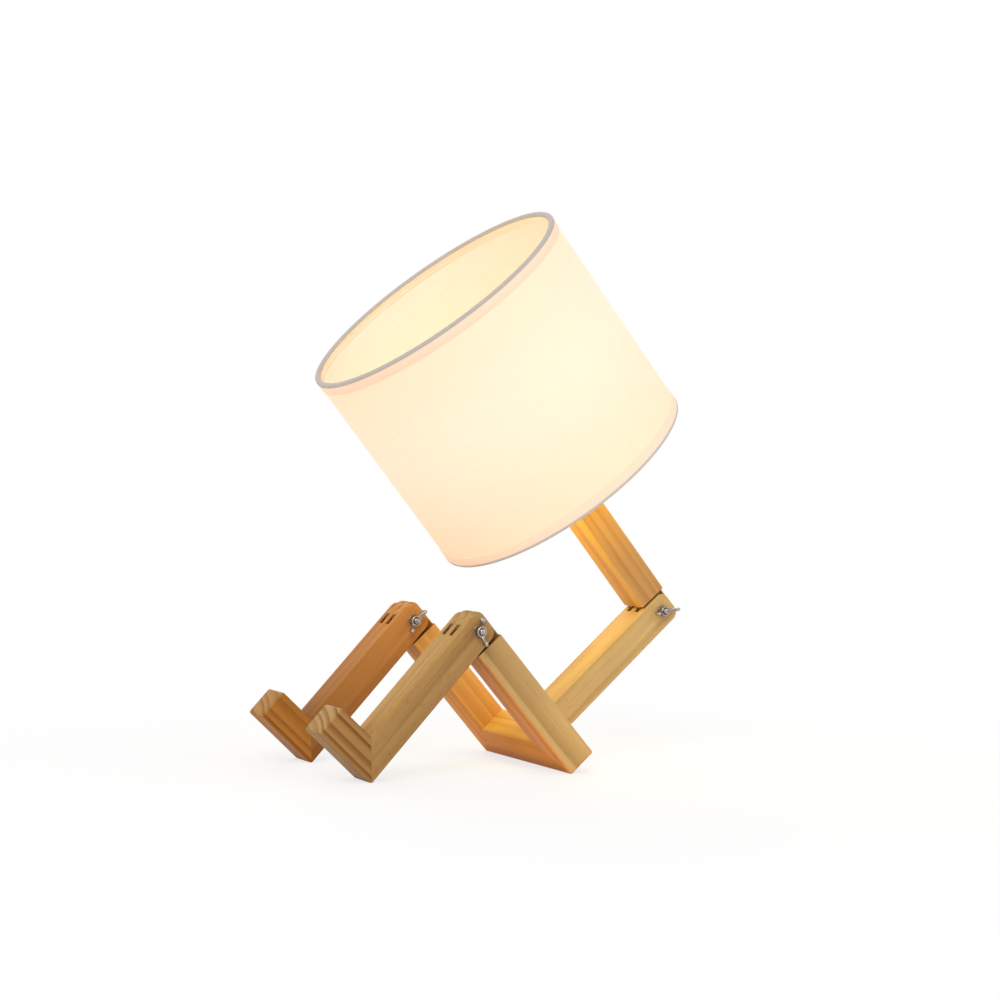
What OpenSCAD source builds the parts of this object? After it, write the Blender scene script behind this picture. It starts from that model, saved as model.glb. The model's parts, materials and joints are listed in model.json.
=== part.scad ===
// Robot-shaped desk lamp: a jointed wooden figure sits on the desk and wears a drum shade as its head.
// The figure faces -X, its left leg is on the -Y side, and the desk top is the plane Z = 0.
// The origin is on the desk top, under the middle of the lamp.

/* [Wooden bars] */
// Width of every bar, measured across the figure
bar_w = 27; // [24:0.5:32]
// Thickness of every bar
bar_t = 22.5; // [20:0.5:27]
// Radius along the long edges of the bars
edge_r = 1.5; // [0.5:0.1:3]
// Radius on the mitred corners and the toes
corner_r = 2; // [0.5:0.1:4]

/* [Figure] */
// Width over both legs
leg_span = 131; // [118:1:150]
// Knee bolt to the underside of the crossbar
thigh_len = 124.5; // [110:0.5:145]
// Knee bolt to the sole
shin_len = 125.5; // [120:0.5:135]
// Back of the heel to the tip of the toes
foot_len = 51.5; // [40:0.5:70]
// Face of the crossbar to the neck bolt
torso_len = 126.5; // [110:0.5:150]
// Neck bolt to the end of the arm under the lampholder
arm_len = 112; // [100:1:130]
// Slope of the thighs below level
thigh_slope = 48; // [46:0.5:50]
// Angle between the torso and the arm
neck_angle = 88.5; // [86:0.5:110]

/* [Knuckle joints] */
// Knee bolt to the end of the shin's three fingers
shin_end = 9; // [8.5:0.5:11]
// Neck bolt to the end of the torso's three fingers
torso_end = 10; // [8.5:0.5:11]
// Bolt to the end of the two fingers on a thigh or on the arm
thigh_end = 11; // [8.5:0.5:11.5]
// Radius of the corners at the end of the fingers
knuckle_r = 6.5; // [5:0.5:8]
// Side gap between two neighbouring fingers
finger_gap = 0.2; // [0.1:0.05:0.4]
// Gap between the three-finger bars and the shoulders that they turn against
shoulder_gap = 1.7; // [1.5:0.1:3]
// Gap between the two-finger bars and the floor of their slots
slot_gap = 3; // [1.5:0.1:5]
// Diameter of the carriage bolts
bolt_d = 4; // [3:0.5:5]
// Radial clearance of the bolts in the wood and in the nuts
bolt_fit = 0.06; // [0.02:0.01:0.1]
// Diameter of the domed bolt head
head_d = 10; // [8:0.5:12]
// Height of the domed bolt head
head_h = 2.2; // [1.5:0.1:3]
// Length of the square neck under the head
square_len = 3; // [2:0.5:4]
// Length of bolt that stands out of the wing nut
bolt_out = 1.2; // [0.8:0.1:5]

/* [Wing nuts] */
// Outer diameter of the flat washer
washer_d = 9; // [8:0.5:12]
// Thickness of the flat washer
washer_t = 0.8; // [0.5:0.1:1.5]
// Radial clearance of the washer on its bolt
washer_fit = 0.15; // [0.05:0.05:0.3]
// Diameter of the hub at the washer
hub_d = 8; // [7:0.5:9]
// Diameter of the hub at its free end
hub_top_d = 6.6; // [6:0.1:7]
// Height of the hub
hub_h = 4.2; // [4:0.1:6]
// Span over both wings
wing_span = 19.5; // [18:0.5:21]
// Height of the wings above the washer
wing_h = 9.6; // [8:0.1:12]
// Thickness of a wing
wing_t = 2.2; // [1.5:0.1:2.5]
// Radius of the rounded ear at the end of a wing
ear_r = 3.1; // [2.5:0.1:3.5]
// Turn of the left knee's nut, from level
left_nut_turn = 100; // [0:1:180]
// Turn of the right knee's nut, from level
right_nut_turn = 55; // [0:1:180]
// Turn of the neck's nut, from level
neck_nut_turn = 11; // [0:1:180]

/* [Glued joints] */
// Diameter of the dowels
dowel_d = 6; // [5:0.5:7]
// Length of the dowels
dowel_len = 20; // [14:1:24]
// Depth left free in a dowel hole at each end
dowel_end = 0.5; // [0.2:0.1:1]
// Spread of the two dowels under the torso
torso_dowel_gap = 15; // [14:0.5:16]
// Radial clearance of dowels and tubes in their holes
snug = 0.05; // [0.02:0.01:0.1]

/* [Cord way] */
// Diameter of the wire bore along the arm
wire_bore_d = 8; // [6:0.5:9]
// Neck bolt to the middle of the cord outlet
outlet_at = 66; // [50:1:75]
// Hole in the outlet bush
outlet_hole_d = 6.5; // [5:0.5:7]
// Outer diameter of the bush
bush_d = 10; // [9:0.5:11]
// Length of the bush in the wood
bush_len = 8; // [7:0.5:9]
// Diameter of the bush's flange
flange_d = 14; // [12:0.5:16]
// Thickness of the bush's flange
flange_t = 1.8; // [1:0.1:2.5]
// Diameter of the threaded tube between arm and lampholder
tube_d = 10; // [9:0.5:11]
// Hole in that tube
tube_hole_d = 8; // [6:0.5:8]
// Length of the tube in the arm
tube_in_arm = 14; // [10:1:20]
// Length of the tube in the lampholder
tube_in_cap = 9; // [7:0.5:10]

/* [Lampholder] */
// Outer diameter of the cap and of the threaded shell
holder_d = 39; // [38:0.5:42]
// Wall of the cap and the shell
holder_wall = 2; // [1.5:0.1:2.5]
// Height of the cap
cap_h = 24; // [22:0.5:28]
// Height of the threaded shell above the cap
shell_h = 33; // [31:0.5:36]
// Height of the two shade rings
ring_h = 7.5; // [6:0.5:8]
// Outer diameter of the shade rings
ring_d = 55; // [50:0.5:60]
// Free gap between the cap and the lower shade ring
ring_lift = 1.5; // [0.5:0.1:3]
// Height of the insulator
insulator_h = 9; // [7:0.5:10]
// Insulator's top above the top of the cap
insulator_lift = 3; // [1:0.5:4]
// Inside diameter of the screw sleeve
sleeve_d = 27; // [26.8:0.1:27.5]
// Wall of the screw sleeve
sleeve_wall = 0.5; // [0.3:0.1:0.8]
// Lip of the shell over the end of the sleeve
lip_h = 3; // [2:0.5:4]

/* [Bulb] */
// Diameter of the bulb's screw cap
bulb_cap_d = 26; // [25:0.1:26.5]
// Length of the bulb's screw cap
bulb_cap_len = 24; // [22:0.5:26]
// Diameter of the globe
globe_d = 60; // [50:1:64]
// Foot contact to the top of the globe
bulb_len = 108; // [100:1:112]
// Wall of the globe and of its housing
globe_wall = 1.2; // [0.8:0.1:2]
// Height of the seam between housing and globe, below the middle of the globe
seam_drop = 12; // [8:0.5:16]
// Thickness of the light board
board_t = 1.6; // [1:0.1:2]

/* [Shade] */
// Diameter of the drum shade
shade_d = 200; // [180:1:220]
// Height of the drum shade
shade_h = 162; // [150:1:180]
// Thickness of the fabric
fabric_t = 0.4; // [0.3:0.1:1]
// Thickness of the stiff lining
lining_t = 0.4; // [0.3:0.1:1.2]
// Diameter of the ring wires
wire_d = 2; // [2:0.5:4]
// Diameter of the three spokes
spoke_d = 2; // [1.5:0.1:2.2]
// Bottom rim to the underside of the fitter plate
fitter_recess = 19; // [12:1:24]
// Rim of the fitter plate that stands out around the shade rings
plate_rim = 5; // [3:0.5:10]
// Thickness of the fitter plate
plate_t = 1.5; // [1:0.1:2]
// Width of the hem at both rims
hem_h = 8; // [6:0.5:12]
// Thickness of the hem tape
tape_t = 0.4; // [0.4:0.1:1]

/* [Hidden] */
$fn = 96;

// One bar's width holds five fingers: three on one bar, two on the other
finger_count = 5;
finger_w = bar_w / finger_count;
shoulder_at = bar_t / 2 + shoulder_gap;
slot_at = bar_t / 2 + slot_gap;
// Bars start this far past the bolt, and cuts run this far past a face
over = 1;
seat_gap = 0.05;
// Wings start this far inside both ends of the hub, and reach into their ears at these two angles
wing_lift = 0.7;
ear_low = 25;
ear_high = 35;
ear_grip = 0.9;

// Seated pose: the crossbar's edge and both heels touch the desk top
leg_y = (leg_span - bar_w) / 2;
knee_z = thigh_len * sin(thigh_slope) + bar_t / 2 * cos(thigh_slope)
    - edge_r * (sin(thigh_slope) + cos(thigh_slope) - 1);
heel_reach = shin_len - corner_r;
heel_back = bar_t / 2 - corner_r;
shin_slope = asin((knee_z - corner_r) / norm([heel_reach, heel_back])) - atan2(heel_back, heel_reach);

// Reach of the figure before and behind the knee bolts, from which the origin follows
torso_at = thigh_len - bar_w / 2;
torso_slope = 90 - thigh_slope;
neck_from_knee = torso_at * cos(thigh_slope) + (bar_t / 2 + torso_len) * cos(torso_slope);
toe_front = foot_len - bar_t / 2 - corner_r;
reach_front = heel_reach * cos(shin_slope) + toe_front * sin(shin_slope) + corner_r;
reach_back = neck_from_knee + bar_t / 2;
knee_x = (reach_front - reach_back) / 2;

// Heights above the end of the arm, along the lampholder's axis
lower_ring_at = cap_h + ring_lift;
plate_at = lower_ring_at + ring_h;
upper_ring_at = plate_at + plate_t;
insulator_top = cap_h + insulator_lift;
holder_top = cap_h + shell_h;
sleeve_r = sleeve_d / 2 + sleeve_wall;
contact_h = 2;
contact_w = 6;
bulb_foot = insulator_top + contact_h;
tip_h = 2.5;
tip_d = 9;
tip_base_d = 17;
bulb_cap_at = bulb_foot + tip_h;
globe_mid = bulb_foot + bulb_len - globe_d / 2;
seam_at = globe_mid - seam_drop;
seam_r = sqrt(pow(globe_d / 2, 2) - pow(seam_drop, 2));
housing_foot = bulb_cap_at + bulb_cap_len;
terminal_r = 9;
terminal_d = 5;
terminal_h = 3;
terminal_shank_d = 4;
cap_floor_t = 2.5;
cap_boss_d = tube_d + 6;
bulb_cap_wall = 0.6;
// The housing starts as a short collar around the screw cap, and is thicker than the globe
collar_step = 1;
collar_h = 5;
housing_wall = globe_wall + 0.2;
board_d = 2 * (seam_r - housing_wall);
housing_floor_t = 3;

// Shade, along the same axis but measured from the bottom rim
shade_at = arm_len + plate_at - fitter_recess;
fabric_r = shade_d / 2;
lining_r = fabric_r - fabric_t;
wire_r = lining_r - lining_t - snug - wire_d / 2;
hem_in_r = wire_r - wire_d / 2 - snug;
hem_in_h = wire_d + 2;
plate_r = ring_d / 2 + plate_rim;
spoke_turns = [60, 180, 300];

wood = [0.80, 0.62, 0.42];
wood_dark = [0.72, 0.53, 0.34];
metal = [0.72, 0.70, 0.68];
brass = [0.80, 0.66, 0.36];
white = [0.94, 0.93, 0.90];
black = [0.12, 0.12, 0.12];
ivory = [0.97, 0.90, 0.79];
taupe = [0.66, 0.60, 0.54];

// ---- Places ----

module at_knee(side)
    translate([knee_x, side * leg_y, knee_z]) children();

// Thighs and crossbar: +X runs from the knee to the hip, +Z is the face that carries the torso
module in_hip()
    translate([knee_x, 0, knee_z]) rotate([0, thigh_slope, 0]) children();

// Shin: +X runs from the knee to the sole, -Z is the front
module in_leg(side)
    at_knee(side) rotate([0, 180 - shin_slope, 0]) children();

// Torso: +X runs from the crossbar to the neck, +Z is the front
module in_torso()
    in_hip() translate([torso_at, 0, bar_t / 2]) rotate([0, -90, 0]) children();

// Arm: +X runs from the neck bolt to the lampholder, -Z is the back
module in_arm()
    in_torso() translate([torso_len, 0, 0]) rotate([0, -neck_angle, 0]) children();

// Lampholder and bulb: +Z is the lamp's axis, 0 is the end of the arm
module on_arm()
    in_arm() translate([arm_len, 0, 0]) rotate([0, 90, 0]) children();

// Shade: +Z is the lamp's axis, 0 is the bottom rim
module in_shade()
    in_arm() translate([shade_at, 0, 0]) rotate([0, 90, 0]) children();

// ---- Bars and their knuckles ----

module rounded_rect(w, h, r) {
    square([w - 2 * r, h], center = true);
    square([w, h - 2 * r], center = true);
    for (x = [-1, 1], y = [-1, 1])
        translate([x * (w / 2 - r), y * (h / 2 - r)]) circle(r);
}

// Plain bar along +X
module bar(from, to)
    translate([from, 0, 0]) rotate([90, 0, 90]) linear_extrude(to - from)
        rounded_rect(bar_w, bar_t, edge_r);

// Half of the bar's section, out to a reach from its middle
module half_section(reach)
    intersection() {
        rounded_rect(2 * reach, bar_w, edge_r);
        translate([0, -bar_w / 2]) square([reach, bar_w]);
    }

// Bar along +X whose end before the bolt has both corners rounded about the Y axis
module round_bar(to, reach) {
    bar(knuckle_r - reach, to);
    for (side = [-1, 1])
        translate([knuckle_r - reach, 0, side * (bar_t / 2 - knuckle_r)])
            rotate([90, 0, 0]) rotate_extrude() half_section(knuckle_r);
    linear_extrude(bar_t - 2 * knuckle_r, center = true) mirror([1, 0]) half_section(reach);
}

// Cut across the bar at the place of one finger, from the round end up to a depth
module finger_cut(index, depth, w) {
    y = (index - (finger_count - 1) / 2) * finger_w;
    translate([-bar_t / 2 - over, y - w / 2, -bar_t / 2 - over])
        cube([bar_t / 2 + over + depth, w, bar_t + 2 * over]);
}

module bolt_hole()
    rotate([90, 0, 0]) cylinder(d = bolt_d + 2 * bolt_fit, h = bar_w + 2 * over, center = true);

// The bolt's square neck sits in the finger under the head
module square_hole() {
    side = bolt_d + 2 * bolt_fit;
    translate([-side / 2, bar_w / 2 - square_len, -side / 2]) cube([side, square_len + over, side]);
}

// Three fingers, with the slots for the other bar's two
module cut_three_fingers() {
    for (index = [1, 3]) finger_cut(index, slot_at, finger_w + finger_gap);
    bolt_hole();
    square_hole();
}

// Two fingers, with room beside and between them
module cut_two_fingers() {
    finger_cut(2, shoulder_at, finger_w + finger_gap);
    for (side = [-1, 1]) {
        from = side * (finger_w * 1.5 - finger_gap / 2);
        to = side * (bar_w / 2 + over);
        translate([-bar_t / 2 - over, min(from, to), -bar_t / 2 - over])
            cube([bar_t / 2 + over + shoulder_at, abs(to - from), bar_t + 2 * over]);
    }
    bolt_hole();
}

// ---- Hip ----

// Plan of the U frame: the outer corners are rounded
module hip_plan() {
    translate([-thigh_len, -leg_span / 2]) square([2 * thigh_len - corner_r, leg_span]);
    translate([0, -leg_span / 2 + corner_r]) square([thigh_len, leg_span - 2 * corner_r]);
    for (side = [-1, 1])
        translate([thigh_len - corner_r, side * (leg_span / 2 - corner_r)]) circle(corner_r);
}

module hip_slab()
    translate([0, 0, -bar_t]) linear_extrude(2 * bar_t) hip_plan();

// Mitre: everything on the crossbar's side of the 45 degree line through one corner
module crossbar_side(side) {
    reach = leg_span + bar_w;
    translate([0, 0, -bar_t]) linear_extrude(2 * bar_t)
        polygon([
            [thigh_len + bar_w, side * (leg_span / 2 + bar_w)],
            [thigh_len - reach, side * (leg_span / 2 - reach)],
            [thigh_len + bar_w, side * (leg_span / 2 - reach)]
        ]);
}

module hip_dowel(side, length, d)
    translate([torso_at, side * leg_y, 0]) rotate([0, 0, -side * 45])
        rotate([0, 90, 0]) cylinder(d = d, h = length, center = true);

module hip_dowel_holes()
    for (side = [-1, 1]) hip_dowel(side, dowel_len + 2 * dowel_end, dowel_d + 2 * snug);

// Dowels between crossbar and torso, in the torso's own place
module torso_dowel(side, length, d)
    translate([0, side * torso_dowel_gap / 2, 0]) rotate([0, 90, 0])
        cylinder(d = d, h = length, center = true);

module torso_dowel_holes()
    for (side = [-1, 1]) torso_dowel(side, dowel_len + 2 * dowel_end, dowel_d + 2 * snug);

module thigh(side) {
    color(wood) in_hip() difference() {
        intersection() {
            translate([0, side * leg_y, 0]) round_bar(thigh_len, thigh_end);
            hip_slab();
        }
        translate([0, side * leg_y, 0]) cut_two_fingers();
        crossbar_side(side);
        hip_dowel_holes();
    }
}

module thigh_left() thigh(-1);
module thigh_right() thigh(1);

module crossbar() {
    color(wood_dark) difference() {
        in_hip() intersection() {
            translate([torso_at, -leg_span / 2, 0]) rotate([-90, 0, 0]) linear_extrude(leg_span)
                rounded_rect(bar_w, bar_t, edge_r);
            hip_slab();
            crossbar_side(-1);
            crossbar_side(1);
        }
        in_hip() hip_dowel_holes();
        in_torso() torso_dowel_holes();
    }
}

module torso() {
    color(wood) in_torso() difference() {
        translate([torso_len, 0, 0]) mirror([1, 0, 0]) round_bar(torso_len, torso_end);
        translate([torso_len, 0, 0]) mirror([1, 0, 0]) cut_three_fingers();
        torso_dowel_holes();
    }
}

module hip_dowels()
    color(wood_dark) in_hip() for (side = [-1, 1]) hip_dowel(side, dowel_len, dowel_d);

module torso_dowels()
    color(wood_dark) in_torso() for (side = [-1, 1]) torso_dowel(side, dowel_len, dowel_d);

// ---- Legs ----

// Side view of a leg: +X to the sole, +Y to the back of the heel
module leg_outline() {
    toe = bar_t / 2 - foot_len;
    translate([-bar_t, -bar_t / 2]) square([shin_len, bar_t]);
    translate([shin_len - bar_t, -bar_t / 2]) square([bar_t - corner_r, bar_t]);
    translate([shin_len - bar_t, -bar_t / 2]) square([bar_t, bar_t - corner_r]);
    translate([shin_len - corner_r, bar_t / 2 - corner_r]) circle(corner_r);
    translate([shin_len - bar_t, toe + corner_r]) square([bar_t, foot_len - bar_t - corner_r]);
    translate([shin_len - bar_t + corner_r, toe]) square([bar_t - 2 * corner_r, foot_len - bar_t]);
    for (x = [shin_len - bar_t + corner_r, shin_len - corner_r])
        translate([x, toe + corner_r]) circle(corner_r);
}

module leg_slab()
    rotate([90, 0, 0]) linear_extrude(2 * bar_w, center = true) leg_outline();

// Mitre: everything on the foot's side of the line from the heel to the instep
module foot_side() {
    reach = foot_len + bar_t;
    rotate([90, 0, 0]) linear_extrude(2 * bar_w, center = true)
        polygon([
            [shin_len + bar_t, bar_t / 2 + bar_t],
            [shin_len - reach, bar_t / 2 - reach],
            [shin_len + bar_t, bar_t / 2 - reach]
        ]);
}

module heel_dowel(length, d)
    translate([shin_len - bar_t / 2, 0, 0]) rotate([0, 45, 0])
        rotate([0, 90, 0]) cylinder(d = d, h = length, center = true);

module heel_dowel_hole()
    heel_dowel(dowel_len + 2 * dowel_end, dowel_d + 2 * snug);

module shin(side) {
    color(wood) in_leg(side) difference() {
        intersection() {
            round_bar(shin_len, shin_end);
            leg_slab();
        }
        cut_three_fingers();
        foot_side();
        heel_dowel_hole();
    }
}

module foot(side) {
    color(wood_dark) in_leg(side) difference() {
        intersection() {
            translate([shin_len - bar_t / 2, 0, bar_t / 2 - foot_len]) linear_extrude(foot_len)
                rounded_rect(bar_t, bar_w, edge_r);
            leg_slab();
            foot_side();
        }
        heel_dowel_hole();
    }
}

module shin_left() shin(-1);
module shin_right() shin(1);
module foot_left() foot(-1);
module foot_right() foot(1);
module heel_dowel_left() color(wood_dark) in_leg(-1) heel_dowel(dowel_len, dowel_d);
module heel_dowel_right() color(wood_dark) in_leg(1) heel_dowel(dowel_len, dowel_d);

// ---- Bolts, washers and wing nuts: the nut is on the -Y side of every knuckle ----

nut_face = -bar_w / 2 - washer_t - seat_gap;

module bolt() {
    dome_r = (pow(head_h, 2) + pow(head_d / 2, 2)) / (2 * head_h);
    shank = bar_w + washer_t + seat_gap + hub_h + bolt_out;
    color(metal) translate([0, bar_w / 2, 0]) rotate([90, 0, 0]) {
        cylinder(d = bolt_d, h = shank);
        translate([-bolt_d / 2, -bolt_d / 2, 0]) cube([bolt_d, bolt_d, square_len]);
        rotate_extrude() intersection() {
            translate([0, dome_r - head_h]) circle(dome_r);
            translate([0, -head_h]) square([head_d, head_h]);
        }
    }
}

module washer()
    color(metal) translate([0, -bar_w / 2, 0]) rotate([90, 0, 0]) difference() {
        cylinder(d = washer_d, h = washer_t);
        translate([0, 0, -over]) cylinder(d = bolt_d + 2 * washer_fit, h = washer_t + 2 * over);
    }

// One wing, drawn in the plane of the hub's axis: X outwards, Y along the axis
module wing_outline() {
    ear = [wing_span / 2 - ear_r, wing_h - ear_r];
    root = hub_top_d / 2 - wing_t / 2;
    reach = ear_r * ear_grip;
    translate(ear) circle(ear_r);
    polygon([
        [root, wing_lift],
        [ear.x + reach * cos(ear_low), ear.y - reach * sin(ear_low)],
        [ear.x - reach * cos(ear_high), ear.y + reach * sin(ear_high)],
        [root, hub_h - wing_lift]
    ]);
}

module wing_nut(turn)
    color(metal) translate([0, nut_face, 0]) rotate([90, 0, 0]) difference() {
        union() {
            cylinder(d1 = hub_d, d2 = hub_top_d, h = hub_h);
            for (side = [0, 180]) rotate([0, 0, turn + side])
                rotate([90, 0, 0]) linear_extrude(wing_t, center = true) wing_outline();
        }
        translate([0, 0, -over]) cylinder(d = bolt_d + 2 * bolt_fit, h = hub_h + wing_h);
    }

module at_neck()
    in_torso() translate([torso_len, 0, 0]) children();

module neck_bolt() at_neck() bolt();
module neck_washer() at_neck() washer();
module neck_wing_nut() at_neck() rotate([0, torso_slope, 0]) wing_nut(neck_nut_turn);
module knee_bolt_left() in_leg(-1) bolt();
module knee_bolt_right() in_leg(1) bolt();
module knee_washer_left() at_knee(-1) washer();
module knee_washer_right() at_knee(1) washer();
module knee_wing_nut_left() at_knee(-1) wing_nut(left_nut_turn);
module knee_wing_nut_right() at_knee(1) wing_nut(right_nut_turn);

// ---- Arm and the way of the cord ----

module outlet_place()
    translate([outlet_at, 0, -bar_t / 2]) children();

module arm() {
    color(wood) in_arm() difference() {
        round_bar(arm_len, thigh_end);
        cut_two_fingers();
        translate([arm_len - tube_in_arm, 0, 0]) rotate([0, 90, 0])
            cylinder(d = tube_d + 2 * snug, h = tube_in_arm + over);
        translate([outlet_at, 0, 0]) rotate([0, 90, 0])
            cylinder(d = wire_bore_d, h = arm_len - outlet_at);
        translate([outlet_at, 0, 0]) sphere(d = wire_bore_d);
        outlet_place() translate([0, 0, -over]) cylinder(d = bush_d + 2 * snug, h = bush_len + over);
    }
}

module cord_outlet() {
    color(black) in_arm() outlet_place() difference() {
        union() {
            cylinder(d = bush_d, h = bush_len);
            translate([0, 0, -flange_t]) cylinder(d = flange_d, h = flange_t);
        }
        translate([0, 0, -flange_t - over]) cylinder(d = outlet_hole_d, h = flange_t + bush_len + 2 * over);
    }
}

module threaded_tube() {
    color(brass) on_arm() translate([0, 0, -tube_in_arm]) difference() {
        cylinder(d = tube_d, h = tube_in_arm + tube_in_cap);
        translate([0, 0, -over]) cylinder(d = tube_hole_d, h = tube_in_arm + tube_in_cap + 2 * over);
    }
}

// ---- Lampholder ----

module holder_cap() {
    color(black) on_arm() difference() {
        union() {
            difference() {
                cylinder(d = holder_d, h = cap_h);
                translate([0, 0, cap_floor_t]) cylinder(d = holder_d - 2 * holder_wall, h = cap_h);
            }
            cylinder(d = cap_boss_d, h = tube_in_cap);
        }
        translate([0, 0, -over]) cylinder(d = tube_d + 2 * snug, h = tube_in_cap + 2 * over);
    }
}

module holder_shell() {
    color(black) on_arm() translate([0, 0, cap_h]) difference() {
        cylinder(d = holder_d, h = shell_h);
        translate([0, 0, -over]) cylinder(d = holder_d - 2 * holder_wall, h = shell_h - lip_h + over);
        cylinder(r = sleeve_r + snug, h = shell_h + over);
    }
}

// The insulator fills the seam between cap and shell and carries the sleeve
module holder_insulator() {
    color(white) on_arm() translate([0, 0, insulator_top - insulator_h]) difference() {
        cylinder(d = holder_d - 2 * holder_wall - 2 * snug, h = insulator_h);
        for (side = [-1, 1])
            translate([side * terminal_r, 0, -over])
                cylinder(d = terminal_shank_d, h = insulator_h / 2 + over);
    }
}

module terminal_screws() {
    color(brass) on_arm() for (side = [-1, 1])
        translate([side * terminal_r, 0, insulator_top - insulator_h]) {
            translate([0, 0, -terminal_h]) cylinder(d = terminal_d, h = terminal_h);
            cylinder(d = terminal_shank_d - 2 * snug, h = insulator_h / 2 - snug);
        }
}

module centre_contact() {
    color(brass) on_arm() translate([-contact_w / 2, -contact_w / 2, insulator_top])
        cube([contact_w, contact_w, contact_h]);
}

module screw_sleeve() {
    sleeve_h = holder_top - lip_h / 2 - insulator_top;
    color(brass) on_arm() translate([0, 0, insulator_top]) difference() {
        cylinder(r = sleeve_r, h = sleeve_h);
        translate([0, 0, -over]) cylinder(d = sleeve_d, h = sleeve_h + 2 * over);
    }
}

module shade_ring(height) {
    color(black) on_arm() translate([0, 0, height]) difference() {
        cylinder(d = ring_d, h = ring_h);
        translate([0, 0, -over]) cylinder(d = holder_d + 2 * snug, h = ring_h + 2 * over);
    }
}

module shade_ring_lower() shade_ring(lower_ring_at);
module shade_ring_upper() shade_ring(upper_ring_at);

// ---- Bulb ----

module bulb_contact()
    color(metal) on_arm() translate([0, 0, bulb_foot]) cylinder(d1 = tip_d, d2 = tip_base_d, h = tip_h);

module bulb_cap() {
    color(metal) on_arm() translate([0, 0, bulb_cap_at]) difference() {
        cylinder(d = bulb_cap_d, h = bulb_cap_len);
        translate([0, 0, bulb_cap_wall]) cylinder(d = bulb_cap_d - 2 * bulb_cap_wall, h = bulb_cap_len);
    }
}

// The housing widens from the screw cap to the seam of the globe
module housing_outline(shrink) {
    collar_r = bulb_cap_d / 2 + collar_step - shrink;
    polygon([
        [0, housing_foot], [collar_r, housing_foot], [collar_r, housing_foot + collar_h],
        [seam_r - shrink, seam_at], [0, seam_at]
    ]);
}

module bulb_housing() {
    color(white) on_arm() difference() {
        rotate_extrude() housing_outline(0);
        difference() {
            rotate_extrude() housing_outline(housing_wall);
            cylinder(d = globe_d, h = housing_foot + housing_floor_t);
        }
        translate([0, 0, seam_at - board_t]) cylinder(d = board_d + 2 * snug, h = board_t + over);
    }
}

module light_board()
    color(white) on_arm() translate([0, 0, seam_at - board_t]) cylinder(d = board_d, h = board_t);

module bulb_globe() {
    color(ivory) on_arm() difference() {
        translate([0, 0, globe_mid]) sphere(d = globe_d);
        translate([0, 0, globe_mid]) sphere(d = globe_d - 2 * globe_wall);
        translate([0, 0, seam_at - globe_d]) cylinder(d = 2 * globe_d, h = globe_d);
    }
}

// ---- Shade ----

module rim_wire(height)
    translate([0, 0, height]) rotate_extrude() translate([wire_r, 0]) circle(d = wire_d);

// Spokes from the bottom ring up to the fitter plate
module spokes(d) {
    inner_r = plate_r - spoke_d;
    rise = fitter_recess + plate_t / 2 - wire_d / 2;
    run = wire_r - inner_r;
    for (turn = spoke_turns) rotate([0, 0, turn])
        translate([wire_r, 0, wire_d / 2]) rotate([0, -90 + atan2(rise, run), 0])
            cylinder(d = d, h = norm([rise, run]));
}

module fitter() {
    color(metal) in_shade() {
        rim_wire(wire_d / 2);
        spokes(spoke_d);
        translate([0, 0, fitter_recess]) difference() {
            cylinder(r = plate_r, h = plate_t);
            translate([0, 0, -over]) cylinder(d = holder_d + 2 * snug, h = plate_t + 2 * over);
        }
    }
}

module top_wire()
    color(metal) in_shade() rim_wire(shade_h - wire_d / 2);

module tube_wall(r, wall, h)
    rotate_extrude() translate([r - wall, 0]) square([wall, h]);

module shade_lining()
    color(white) in_shade() tube_wall(lining_r, lining_t, shade_h);

module shade_fabric()
    color(ivory) in_shade() tube_wall(fabric_r, fabric_t, shade_h);

// Tape folded over the rim and its wire, drawn for a rim at Y = 0 with the shade below it
module hem_outline() {
    translate([fabric_r, -hem_h]) square([tape_t, hem_h + tape_t]);
    translate([hem_in_r - tape_t, 0]) square([fabric_r + 2 * tape_t - hem_in_r, tape_t]);
    translate([hem_in_r - tape_t, -hem_in_h]) square([tape_t, hem_in_h + tape_t]);
}

module top_hem()
    color(taupe) in_shade() translate([0, 0, shade_h]) rotate_extrude() hem_outline();

module bottom_hem()
    color(taupe) in_shade() difference() {
        mirror([0, 0, 1]) rotate_extrude() hem_outline();
        spokes(spoke_d + 2 * snug);
    }

crossbar();
thigh_left();
thigh_right();
torso();
hip_dowels();
torso_dowels();
neck_bolt();
neck_washer();
neck_wing_nut();
shin_left();
foot_left();
heel_dowel_left();
knee_bolt_left();
knee_washer_left();
knee_wing_nut_left();
shin_right();
foot_right();
heel_dowel_right();
knee_bolt_right();
knee_washer_right();
knee_wing_nut_right();
arm();
cord_outlet();
threaded_tube();
holder_cap();
holder_insulator();
terminal_screws();
centre_contact();
screw_sleeve();
holder_shell();
shade_ring_lower();
shade_ring_upper();
bulb_contact();
bulb_cap();
bulb_housing();
light_board();
bulb_globe();
fitter();
top_wire();
shade_lining();
shade_fabric();
top_hem();
bottom_hem();
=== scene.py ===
import bpy
import bmesh
import json
import math
from mathutils import Matrix, Vector


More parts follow.
